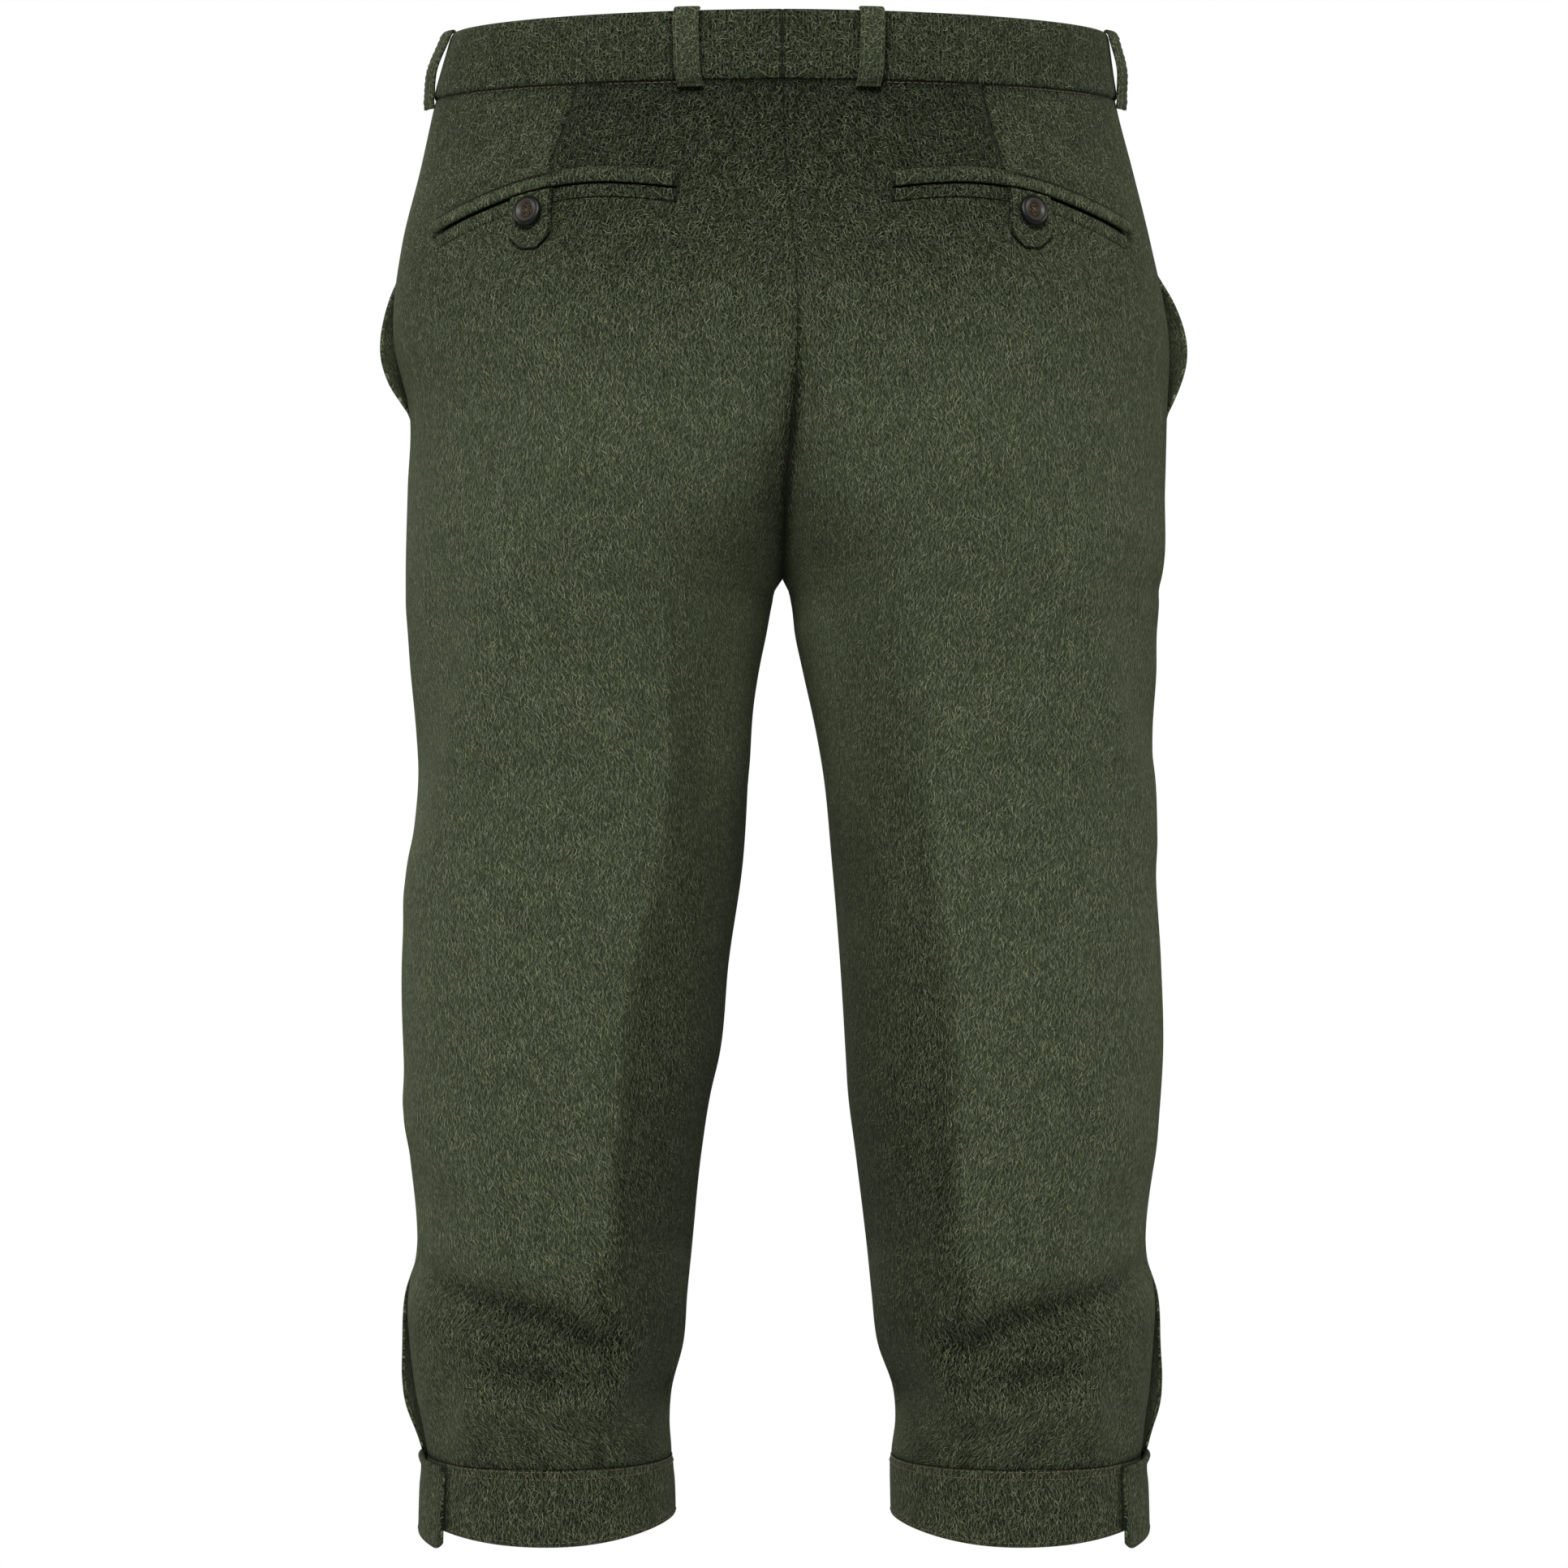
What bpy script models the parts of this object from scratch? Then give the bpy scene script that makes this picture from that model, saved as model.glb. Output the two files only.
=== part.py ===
"""Knee breeches in heavy green wool, in the shape they take when worn: hollow, open at the waist and hems.

Run with: blender --background --python part.py

Frame: metres, +Z up. The wearer faces -Y, so the seat is at +Y, and the wearer's left leg is at +X.
The origin is the middle of the waistband, at half its height. Sizes below are in millimetres.

A leg is a ring of cloth. A place on it is given by
  side    +1 for the left leg, -1 for the right
  face    +1 for the back half of the ring, -1 for the front half
  turn    the angle round the ring, 0 at the side seam and growing towards the seat seam or inseam
  height  the height above the origin
"""
import math

import bmesh
import bpy
import numpy as np
from mathutils import Vector

LEFT, RIGHT = 1, -1
BACK, FRONT = 1, -1
MM = 0.001

# Driving sizes
CLOTH = 2.0             # thickness of one layer of felted wool
TRIM_CLOTH = 1.5        # thickness of a pressed trim piece
SEAM_GAP = 0.3          # clearance between two pieces that are sewn together
REST_GAP = 0.6          # clearance between a flat piece and the panel it lies on
BAND_HEIGHT = 34.0      # waistband
BAND_THICK = 4.0
BAND_PROUD = 1.5        # how far the waistband's face stands over the panels
BAND_ROUNDING = (0.8, 0.0, 0.0, 0.0, 0.9)   # how much less its lowest and highest rows stand proud
BAND_LAP = 34.0         # how far the left end laps over the right one at the front
BAND_ROLL = 3.0         # the band's face rolls in over this much of its height, above and below
BAND_STEPS = 15         # stations of a quarter of the waistband
BESIDE_SEAM = math.radians(88.5)    # one more station beside the centre back seam
BAND_LEAN = 0.07        # how far the wall's inner corners lean over that seam
# The front ends: distances from the middle, below 0 on the right half, and the share of the left
# end's rise over the right one
BAND_END = (
    (21.7, 0.1), (9.0, 0.55), (SEAM_GAP, 1.0), (-8.0, 1.0), (-17.0, 1.0), (-26.0, 1.0), (-BAND_LAP, 1.0),
)
CROTCH = -259.0
CUFF_TOP = -700.0
CUFF_BOTTOM = -738.5
CUFF_THICK = 3.0
CUFF_PROUD = 0.8
LEG_AXIS = 110.0        # distance of a leg's middle from the middle of the garment

# Columns of a panel, as shares of the way from the centre edge to the crease, and on to the side edge
TO_CREASE = (0.0, 0.07, 0.28, 0.48, 0.67, 0.84, 1.0)
TO_SIDE = (0.14, 0.27, 0.40, 0.53, 0.66, 0.79, 0.91, 0.975, 1.0)
SEAM_FADE = 14.0        # folds die away this close to the side seam and inseam

# Exponent of the ring's sine and cosine, by height: 1 is an ellipse, less is squarer, more is a lens
ROUNDING = ((17, 1.13), (-17, 1.07), (-60, 0.99), (-110, 0.94))

# The worn shape, a row for each section: widths from the middle, depths from the middle
SHAPE_COLUMNS = ("height", "out_left", "out_right", "in_left", "in_right", "back", "front")
SHAPE = (
    (17, 165.5, 163, 0, 0, 117, 114),
    (-17, 175, 168, 0, 0, 119, 114),
    (-53, 183, 177, 0, 0, 123, 114),
    (-90, 192, 186, 0, 0, 130, 116),
    (-139, 196, 195, 0, 0, 135, 116),
    (-176, 188, 194, 0, 0, 134, 116),
    (-213, 189, 193, 0, 0, 130, 116),
    (-259, 190, 191, 0, 0, 121, 116),
    (-263, 190, 190, 2.8, 1.9, 120, 115),
    (-271, 190, 190, 4.9, 4.0, 118, 114),
    (-287, 189, 189, 8.2, 6.4, 115, 113),
    (-303, 188, 189, 11.5, 9.8, 112, 112),
    (-336, 185, 187, 16, 17, 108, 110),
    (-353, 184, 187, 17, 20, 106, 108),
    (-402, 188, 188, 20, 25, 102, 104),
    (-451, 192, 191, 27, 29, 99, 101),
    (-500, 191, 192, 32, 32, 96, 98),
    (-517, 190, 191, 36, 33, 95, 97),
    (-549, 188, 188, 41, 37, 93, 95),
    (-599, 185, 184, 46, 43, 90, 93),
    (-619, 189, 188, 48, 45, 87, 92),
    (-644, 188, 187, 50, 48, 86, 91),
    (-668, 185, 185, 56, 56, 82, 86),
    (-683, 182, 183, 57, 57, 75, 78),
    (-700, 179, 181, 56, 55, 66, 66),
    (-704, 178.5, 180.2, 56, 55, 65, 65),
    (-715, 179.2, 180.8, 55, 55, 65, 65),
    (-738, 179.7, 181.3, 54, 55, 64, 64),
)

# How the two legs become one above the crotch: the distance of a leg's middle from the middle of the
# garment, as a share of the leg's half width. The ring is cut off where it meets the other leg.
PARTING_COLUMNS = ("above_crotch", "back", "front")
PARTING = (
    (0, 1.000, 1.000),
    (3, 0.988, 0.984),
    (10, 0.935, 0.900),
    (20, 0.830, 0.740),
    (32, 0.690, 0.560),
    (50, 0.490, 0.345),
    (68, 0.350, 0.200),
    (86, 0.242, 0.105),
    (105, 0.150, 0.040),
    (125, 0.080, 0.010),
    (160, 0.000, 0.000),
)

# The line of the dart and the pressed crease, as distances from the middle of the garment
CREASE_COLUMNS = ("height", "back_left", "back_right", "front_left", "front_right", "lift")
CREASE = (
    (0, 101, 102, 62, 62, 0.0),
    (-17, 102, 103, 64, 64, -1.0),
    (-62, 113, 114, 70, 70, -0.8),
    (-100, 110, 108, 74, 74, 0.0),
    (-180, 85, 78, 80, 80, 0.3),
    (-250, 61, 60, 84, 82, 2.0),
    (-295, 57, 66, 86, 84, 3.2),
    (-357, 57, 73, 89, 88, 3.6),
    (-405, 65, 78, 93, 92, 3.6),
    (-460, 76, 84, 98, 98, 4.0),
    (-531, 83, 88, 103, 103, 4.0),
    (-606, 89, 91, 108, 108, 2.5),
    (-640, 91, 93, 111, 111, 0.4),
    (-700, 96, 98, 114, 114, 0.0),
)
CREASE_SPREAD = 24.0    # half the width of the crease's ridge
CREASE_SHARPNESS = 1.4  # above 1, the ridge comes to an edge

# The seat seam leans to the wearer's right, by this much
SEAT_LEAN = ((-17, 0.0), (-60, -2.0), (-115, -7.0), (-160, -7.0), (-205, -3.0), (-259, 0.0))
SEAT_LEAN_REACH = 45.0
# The seat seam is drawn in between the halves of the seat, by this much
SEAT_VALLEY = ((-125, 0.0), (-150, 2.5), (-180, 7.0), (-210, 9.0), (-235, 7.0), (-252, 2.0), (-259, 0.0))
SEAT_VALLEY_REACH = 10.0

# The side pocket: its mouth slants from the waist seam back to the side seam, and its edge gapes
POCKET_SLANT = 35.0     # distance of the mouth from the side seam, at the waist seam
POCKET_END = -178.0
POCKET_GAPE = (
    (-95, 0.0), (-106, 1.7), (-116, 3.9), (-127, 6.6), (-139, 8.5), (-151, 9.0), (-162, 7.4),
    (-170, 4.0), (-176, 0.9), (-180, 0.0),
)
# The side vent over the cuff: its front layer is puffed out over the back one
VENT_PUFF = (
    (-604, 0.0), (-614, 1.2), (-633, 3.2), (-648, 4.8), (-662, 6.6), (-677, 7.0), (-690, 4.4),
    (-700, 2.8),
)
EDGE_REACH = 46.0       # how far into the front panel the gape and the puff fade away
FACING_DEPTH = 3.2      # how deep the side pocket's facing lies under the panels' outer face
FACING_LAPS = (5.0, 24.0)   # how far it runs on under the back panel and under the front panel

# The largest folds, a row for each: sides, face, height out of the cloth, half width, and its line,
# as (distance from the middle, height) points. Troughs have a negative height.
BOTH = (LEFT, RIGHT)
FOLD_TAPER = 0.45       # a fold is this much lower at its ends
FOLDS = (
    ((LEFT,), BACK, -3.2, 15, ((57, -286), (41, -345), (25, -408))),
    ((LEFT,), BACK, 2.4, 12, ((41, -288), (21, -358))),
    ((LEFT,), BACK, 4.0, 16, ((143, -262), (150, -308), (160, -348), (171, -396), (182, -416))),
    ((LEFT,), BACK, -3.0, 14, ((162, -262), (168, -308), (177, -346), (184, -380))),
    ((RIGHT,), BACK, 3.6, 15, ((147, -258), (159, -308), (170, -348), (181, -388))),
    ((RIGHT,), BACK, -3.0, 13, ((164, -262), (174, -308), (183, -342))),
    ((RIGHT,), BACK, -2.6, 11, ((75, -436), (80, -480), (81, -516))),
    ((RIGHT,), BACK, 2.4, 17, ((54, -392), (60, -440), (62, -494))),
    ((RIGHT,), BACK, -2.6, 12, ((34, -388), (36, -432))),
    ((LEFT,), BACK, -3.0, 16, ((69, -440), (72, -500), (74, -560))),
    ((LEFT,), BACK, 4.2, 14, ((184, -524), (172, -544), (156, -560))),
    ((RIGHT,), BACK, 4.2, 14, ((152, -512), (168, -542), (158, -560))),
    ((LEFT,), BACK, -2.6, 14, ((182, -548), (166, -568), (148, -582))),
    ((RIGHT,), BACK, -2.6, 14, ((174, -562), (160, -578), (146, -586))),
    (BOTH, BACK, -11.5, 13, ((174, -609), (153, -617), (130, -623), (112, -628), (93, -637))),
    (BOTH, BACK, 4.4, 10, ((164, -632), (132, -638), (110, -644))),
    (BOTH, BACK, -6.0, 9, ((137, -652), (118, -656), (96, -657))),
    (BOTH, BACK, 5.2, 10, ((93, -610), (82, -624), (75, -637), (83, -655), (92, -672))),
    (BOTH, BACK, -5.0, 15, ((54, -580), (60, -598))),
    (BOTH, BACK, -4.6, 13, ((58, -652), (64, -672))),
    (BOTH, BACK, 4.0, 9, ((148, -660), (156, -688))),
    (BOTH, BACK, -3.4, 8, ((167, -658), (169, -688))),
    (BOTH, BACK, -4.2, 7, ((100, -668), (92, -688))),
    (BOTH, BACK, -3.4, 7, ((132, -678), (126, -696))),
    (BOTH, BACK, 5.0, 30, ((95, -178), (98, -222))),
    (BOTH, FRONT, -3.4, 15, ((44, -262), (70, -282), (104, -290))),
    (BOTH, FRONT, 3.0, 15, ((40, -284), (72, -312), (110, -322))),
    ((LEFT,), FRONT, -3.0, 15, ((160, -380), (132, -412), (110, -420))),
    ((RIGHT,), FRONT, -3.0, 15, ((158, -398), (130, -424), (108, -430))),
    (BOTH, FRONT, 6.0, 34, ((108, -486), (110, -510))),
    (BOTH, FRONT, -4.0, 13, ((60, -552), (96, -566), (150, -556))),
    (BOTH, FRONT, 3.4, 12, ((62, -580), (104, -592), (152, -582))),
    (BOTH, FRONT, -6.0, 12, ((64, -606), (100, -622), (160, -616))),
    (BOTH, FRONT, 3.0, 10, ((82, -648), (90, -676))),
    (BOTH, FRONT, -3.2, 9, ((104, -652), (108, -688))),
    (BOTH, FRONT, 3.0, 10, ((134, -650), (132, -682))),
    (BOTH, FRONT, -3.0, 9, ((154, -656), (148, -690))),
)

# A belt loop's course down over the waistband: height, and how far its inner face stands over the panel
LOOP_COURSE = (
    (15.9, 2.0), (14.6, 6.0), (11.0, 9.2), (4.0, 10.3), (-5.0, 10.2), (-11.5, 8.9), (-16.5, 5.2),
    (-19.0, 2.0), (-20.8, 0.7),
)
SIDE_LOOP_COURSE = (
    (16.4, 1.8), (14.6, 4.6), (11.0, 7.2), (5.0, 9.2), (-2.0, 10.0), (-8.0, 9.8), (-13.0, 8.2),
    (-17.5, 5.2), (-20.5, 2.4), (-22.5, 0.7),
)
LOOP_CROWN = 0.4        # a loop is fuller along its middle
# Belt loops: name, side, face, turn in degrees, width, course
LOOPS = (
    ("belt_loop_back_left", LEFT, BACK, 72.8, 13.0, LOOP_COURSE),
    ("belt_loop_back_right", RIGHT, BACK, 73.4, 12.4, LOOP_COURSE),
    ("belt_loop_side_left", LEFT, BACK, 3.5, 12.4, SIDE_LOOP_COURSE),
    ("belt_loop_side_right", RIGHT, BACK, 3.5, 12.4, SIDE_LOOP_COURSE),
    ("belt_loop_front_left", LEFT, FRONT, 67.8, 12.4, LOOP_COURSE),
    ("belt_loop_front_right", RIGHT, FRONT, 67.8, 12.4, LOOP_COURSE),
)

# The back pocket's mouth: distance from the middle, height
POCKET_MOUTH = (
    (50, -70.5), (70, -68), (92, -67), (110, -68.5), (125, -71.5), (145, -78), (160, -84), (172, -90),
)
WELT_SPAN = (52.0, 170.0)
WELT_STEPS = 15
LOWER_WELT_THICK = 1.2
# Its two welts: name, thickness, height of each row over the mouth, and each row's stand over the panel
WELTS = (
    ("back_pocket_welt_upper_", 2.2, (0.0, 1.33, 4.44, 7.4), (1.1, 1.5, 1.2, 0.6)),
    ("back_pocket_welt_lower_", LOWER_WELT_THICK, (-0.3, -3.3, -6.3), (0.8, 0.8, 0.6)),
)
# Its tab
TAB_WIDTH = 20.6
TAB_ROOT_GAP = 1.1      # the tab's root lies this far under the upper welt's edge
TAB_LENGTH = 27.0
TAB_MIDDLE = {LEFT: 121.0, RIGHT: 119.0}
TAB_LEAN = 2.4          # how far the tip lies outside the tab's root
TAB_TAPER_START = 0.72  # share of the length where the tip starts to narrow
TAB_TIP_WIDTH = 0.34    # the tip's width as a share of the tab's
TAB_ROWS = (0.0, 0.12, 0.24, 0.36, 0.54, TAB_TAPER_START, 0.86, 0.95, 1.0)
OVER_WELT = REST_GAP + LOWER_WELT_THICK + 0.9   # the tab's root stands over the lower welt
# The tab's course: share of its length, stand over the panel
TAB_COURSE = ((0.0, OVER_WELT), (0.3, OVER_WELT), (0.6, 1.4), (1.0, 0.9))

# A button's section, from the middle of its face round to the middle of its back: radius, height
BUTTON_SECTION = (
    (0.0, 1.9), (4.2, 2.1), (5.1, 2.9), (6.4, 2.9), (7.5, 1.8), (6.7, 0.5), (4.5, 0.0), (0.0, 0.0),
)
BUTTON_HOLE = 0.9       # radius of each of the four holes
BUTTON_HOLES_OUT = 1.9  # distance of a hole from the button's middle
BUTTON_DROP = 11.5      # from the tab's root to the button's middle
BUTTON_STAND = 0.5      # clearance between a back pocket's button and its tab
WAIST_BUTTON_IN = 14.0  # distance of the waist button from the end of the waistband's lap
WAIST_BUTTON_STAND = 0.8

# The side pocket's facing: heights of its rows
FACING_ROWS = (-17.6, -45, -75, -105, -128, -146, -162, -176, -188)

# The fly's lap on the front
FLY_EDGE = -6.0         # the straight edge lies past the middle, on the right leg
FLY_WIDTH = 32.0
FLY_END = -172.0
FLY_TIP = 5.0           # its width at the lower end
FLY_BEND = 34.0         # height over which its outer edge curves in

# The cuff's hem rises this far above its lowest place towards the side seam and the inseam
HEM_RISE_OUTER = 6.5
HEM_RISE_INNER = 8.5
# The cuff's rows: share of its depth, how far the row stands proud
CUFF_ROWS = ((0.0, 0.0), (0.11, CUFF_PROUD), (0.4, CUFF_PROUD), (1.0, 0.4))
CUFF_STEPS = 16                         # columns of each half of the cuff

# The cuff's closing tab: turns of its sewn end and its free end, and how far the free end drops
CUFF_TAB_TURNS = (-26.0, 38.0)
CUFF_TAB_DROP = 8.0
CUFF_TAB_DROP_START = 0.35  # share of its length where it starts to drop
CUFF_TAB_CORNER = 4.0       # the free end's lower corner is cut off this high
CUFF_TAB_CORNER_START = 0.9
CUFF_TAB_LIFT = 0.5         # how far the free end's lower edge stands off
CUFF_TAB_THICK = 2.6

WOOL = "#3a4330"
WOOL_DARK = "#2a3124"
HORN = "#33291f"


def smooth(points, at):
    """Value at `at` of a smooth curve through (position, value) points, level beyond its ends."""
    ordered = np.array(sorted(points), dtype=float)
    position, value = ordered[:, 0], ordered[:, 1]
    slope = np.gradient(value, position)
    at = np.clip(np.asarray(at, dtype=float), position[0], position[-1])
    index = np.clip(np.searchsorted(position, at) - 1, 0, len(position) - 2)
    gap = position[index + 1] - position[index]
    part = (at - position[index]) / gap
    rest = 1.0 - part
    start = (1.0 + 2.0 * part) * rest ** 2 * value[index] + part * rest ** 2 * gap * slope[index]
    end = (3.0 - 2.0 * part) * part ** 2 * value[index + 1] - part ** 2 * rest * gap * slope[index + 1]
    return start + end


def column(table, names, name):
    """The (position, value) points of one named column of a table."""
    place = names.index(name)
    return [(row[0], row[place]) for row in table]


def side_name(side):
    return "left" if side == LEFT else "right"


def roundness(height):
    return smooth(ROUNDING, height)


def ring(side, face, height):
    """Middle, half width and half depth of the ring of cloth, and how far round it reaches."""
    out = smooth(column(SHAPE, SHAPE_COLUMNS, "out_" + side_name(side)), height)
    inner = smooth(column(SHAPE, SHAPE_COLUMNS, "in_" + side_name(side)), height)
    depth = smooth(column(SHAPE, SHAPE_COLUMNS, "back" if face == BACK else "front"), height)
    parting = smooth(column(PARTING, PARTING_COLUMNS, "back" if face == BACK else "front"), height - CROTCH)
    parting = np.clip(parting, 0.0, 1.0)
    middle = np.where(height > CROTCH, out * parting / (1.0 + parting), (out + inner) / 2.0)
    half_width = out - middle
    reach = np.arccos(-parting ** (1.0 / roundness(height)))
    return middle, half_width, depth, reach


def turn_at(side, face, across, height):
    """The turn at which the ring lies this far from the middle of the garment."""
    middle, half_width, _, reach = ring(side, face, height)
    share = np.clip((across - middle) / half_width, -1.0, 1.0)
    cosine = np.sign(share) * np.abs(share) ** (1.0 / roundness(height))
    return np.minimum(np.arccos(cosine), reach)


def distance_to_line(across, height, line):
    """Distance of each place from a line of points, and the share of the line that lies before it."""
    best = np.full(np.shape(across), np.inf)
    share = np.zeros(np.shape(across))
    lengths = [math.dist(start, end) for start, end in zip(line, line[1:])]
    gone = 0.0
    for start, end, length in zip(line, line[1:], lengths):
        run, rise = end[0] - start[0], end[1] - start[1]
        along = ((across - start[0]) * run + (height - start[1]) * rise) / length ** 2
        along = np.clip(along, 0.0, 1.0)
        away = np.hypot(across - start[0] - along * run, height - start[1] - along * rise)
        nearer = away < best
        best = np.where(nearer, away, best)
        share = np.where(nearer, (gone + along * length) / sum(lengths), share)
        gone += length
    return best, share


def fold_lift(side, face, across, height):
    """How far the folds and the crease lift the cloth out of its plain ring."""
    lift = np.zeros(np.shape(across))
    for sides, fold_face, rise, spread, line in FOLDS:
        if side in sides and fold_face == face:
            away, share = distance_to_line(across, height, line)
            middle_share = 1.0 - FOLD_TAPER * (2.0 * share - 1.0) ** 2
            lift += rise * middle_share * np.exp(-(away / spread) ** 2)
    name = ("back_" if face == BACK else "front_") + side_name(side)
    crease = smooth(column(CREASE, CREASE_COLUMNS, name), height)
    crease_lift = smooth(column(CREASE, CREASE_COLUMNS, "lift"), height)
    nearness = np.clip(1.0 - np.abs(across - crease) / CREASE_SPREAD, 0.0, 1.0)
    return lift + crease_lift * nearness ** CREASE_SHARPNESS


def edge_lift(face, from_seam, height, outer_half):
    """The gape of the side pocket's edge and the puff of the vent, on the front panel only."""
    if face == BACK:
        return np.zeros(np.shape(height))
    past_edge = np.where(outer_half, np.maximum(from_seam - pocket_slant(height), 0.0), EDGE_REACH)
    fade = np.clip(1.0 - past_edge / EDGE_REACH, 0.0, 1.0) ** 2
    return (smooth(POCKET_GAPE, height) + smooth(VENT_PUFF, height)) * fade


def pocket_slant(height):
    """Distance of the side pocket's mouth from the side seam."""
    rise = (height - POCKET_END) / (-BAND_HEIGHT / 2.0 - POCKET_END)
    return POCKET_SLANT * np.clip(rise, 0.0, 1.0)


def cloth(side, face, turn, height, folded=True, gaping=True):
    """Points of the cloth's outer face, in millimetres."""
    turn, height = np.broadcast_arrays(np.asarray(turn, float), np.asarray(height, float))
    middle, half_width, depth, _ = ring(side, face, height)
    cosine, sine = np.cos(turn), np.sin(turn)
    bend = roundness(height)
    across = middle + half_width * np.sign(cosine) * np.abs(cosine) ** bend
    deep = depth * np.sign(sine) * np.abs(sine) ** bend
    lift = np.zeros(np.shape(height))
    if folded:
        fade = np.clip(deep / SEAM_FADE, 0.0, 1.0)
        lift = lift + fold_lift(side, face, across, height) * fade ** 2 * (3.0 - 2.0 * fade)
    if gaping:
        lift = lift + edge_lift(face, deep, height, cosine > 0.0)
    outward = np.stack((cosine / half_width, sine / depth))
    outward = outward / np.linalg.norm(outward, axis=0)
    across = across + lift * outward[0]
    deep = deep + lift * outward[1]
    if face == BACK:
        deep = deep - smooth(SEAT_VALLEY, height) * np.exp(-(across / SEAT_VALLEY_REACH) ** 2)
    lean = smooth(SEAT_LEAN, height) * np.exp(-(across / SEAT_LEAN_REACH) ** 2)
    if face == FRONT:
        lean = np.zeros(np.shape(height))
    return np.stack((side * across + lean, face * deep, height), axis=-1)


def cloth_and_normal(side, face, turn, height, **ways):
    """Points of the cloth's outer face, and its outward directions."""
    step_turn, step_height = 0.01, 1.0
    turn, height = np.broadcast_arrays(np.asarray(turn, float), np.asarray(height, float))
    point = cloth(side, face, turn, height, **ways)
    round_ring = cloth(side, face, turn + step_turn, height, **ways)
    round_ring = round_ring - cloth(side, face, turn - step_turn, height, **ways)
    upward = cloth(side, face, turn, height + step_height, **ways)
    upward = upward - cloth(side, face, turn, height - step_height, **ways)
    normal = np.cross(round_ring, upward) * side * face
    normal = normal / np.linalg.norm(normal, axis=-1, keepdims=True)
    return point, normal


def moved_out(side, face, turn, height, lift, **ways):
    """Points of the cloth moved out of its face by `lift`."""
    point, normal = cloth_and_normal(side, face, turn, height, **ways)
    return point + normal * np.asarray(lift, float)[..., None]


def wool_material(name, colour, roughness=0.95):
    """A material of its own for one piece."""
    channels = [int(colour[start:start + 2], 16) / 255.0 for start in (1, 3, 5)]
    linear = [c / 12.92 if c <= 0.04045 else ((c + 0.055) / 1.055) ** 2.4 for c in channels]
    material = bpy.data.materials.new(name)
    material.use_nodes = True
    surface = material.node_tree.nodes["Principled BSDF"]
    surface.inputs["Base Color"].default_value = (*linear, 1.0)
    surface.inputs["Roughness"].default_value = roughness
    surface.inputs["Metallic"].default_value = 0.0
    material.diffuse_color = (*linear, 1.0)
    return material


def points_away(grid, side):
    """Whether the grid's rows and columns run so that its faces point away from the leg's middle."""
    row, place = (grid.shape[0] - 1) // 2, (grid.shape[1] - 1) // 2
    corner = grid[row, place]
    normal = np.cross(grid[row, place + 1] - corner, grid[row + 1, place] - corner)
    from_axis = corner - np.array((side * LEG_AXIS, 0.0, corner[2]))
    return float(np.dot(normal, from_axis)) > 0.0


def sheet(collection, name, side, grid, thickness, colour=WOOL, outward=False, closed=False):
    """A wall of cloth over a grid of outer points; `outward` thickens it away from the body."""
    rows, columns = grid.shape[:2]
    kept_order = points_away(grid, side)
    mesh = bmesh.new()
    corners = [[mesh.verts.new(Vector(point) * MM) for point in row] for row in grid]
    spans = columns if closed else columns - 1
    for row in range(rows - 1):
        for place in range(spans):
            after = (place + 1) % columns
            face = (corners[row][place], corners[row][after],
                    corners[row + 1][after], corners[row + 1][place])
            mesh.faces.new(face if kept_order else face[::-1])
    thing = finished(collection, name, mesh, colour)
    wall = thing.modifiers.new("wall", "SOLIDIFY")
    wall.thickness = thickness * MM
    wall.offset = 1.0 if outward else -1.0
    return thing


def panel_heights():
    """Heights of the panels' sections, closer together at the crotch and over the cuff."""
    edge = SEAM_GAP / 2.0
    sewn = (-BAND_HEIGHT / 2.0 - edge, CUFF_TOP + edge)
    hip = (-42, -72, -100, -120, -139, -156, -168, -178, -200, -222, -238, -248, -255, -259)
    leg = (-262.5, -269, -283, -310, -345, -380, -412, -445, -480, -512, -538, -562, -584, -600)
    folds = (-612, -623, -634, -645, -657, -669, -680, -690)
    return np.array((sewn[0], *hip, *leg, *folds, sewn[1]), dtype=float)


def panel_turns(side, face, heights):
    """Turns of a panel's columns, from its centre edge or inseam to its side edge."""
    _, _, depth, reach = ring(side, face, heights)
    name = ("back_" if face == BACK else "front_") + side_name(side)
    crease = turn_at(side, face, smooth(column(CREASE, CREASE_COLUMNS, name), heights), heights)
    side_edge = SEAM_GAP / 2.0 + (pocket_slant(heights) if face == FRONT else 0.0)
    side_turn = np.arcsin((side_edge / depth) ** (1.0 / roundness(heights)))
    inner = reach[:, None] + (crease - reach)[:, None] * np.array(TO_CREASE)
    outer = crease[:, None] + (side_turn - crease)[:, None] * np.array(TO_SIDE)
    return np.concatenate((inner, outer), axis=1)


def keep_clear(grid, side, face, heights):
    """Keep a panel's points on their own side of the seat seam, the inseam and the side seam."""
    half_gap = SEAM_GAP / 2.0
    middle = smooth(SEAT_LEAN, heights) if face == BACK else np.zeros(len(heights))
    above = heights > CROTCH - 0.01
    beside = side * (grid[above, 0, 0] - middle[above])
    grid[above, 0, 0] = middle[above] + side * np.maximum(beside, half_gap)
    grid[:, :, 1] = face * np.maximum(face * grid[:, :, 1], half_gap)
    return grid


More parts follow.
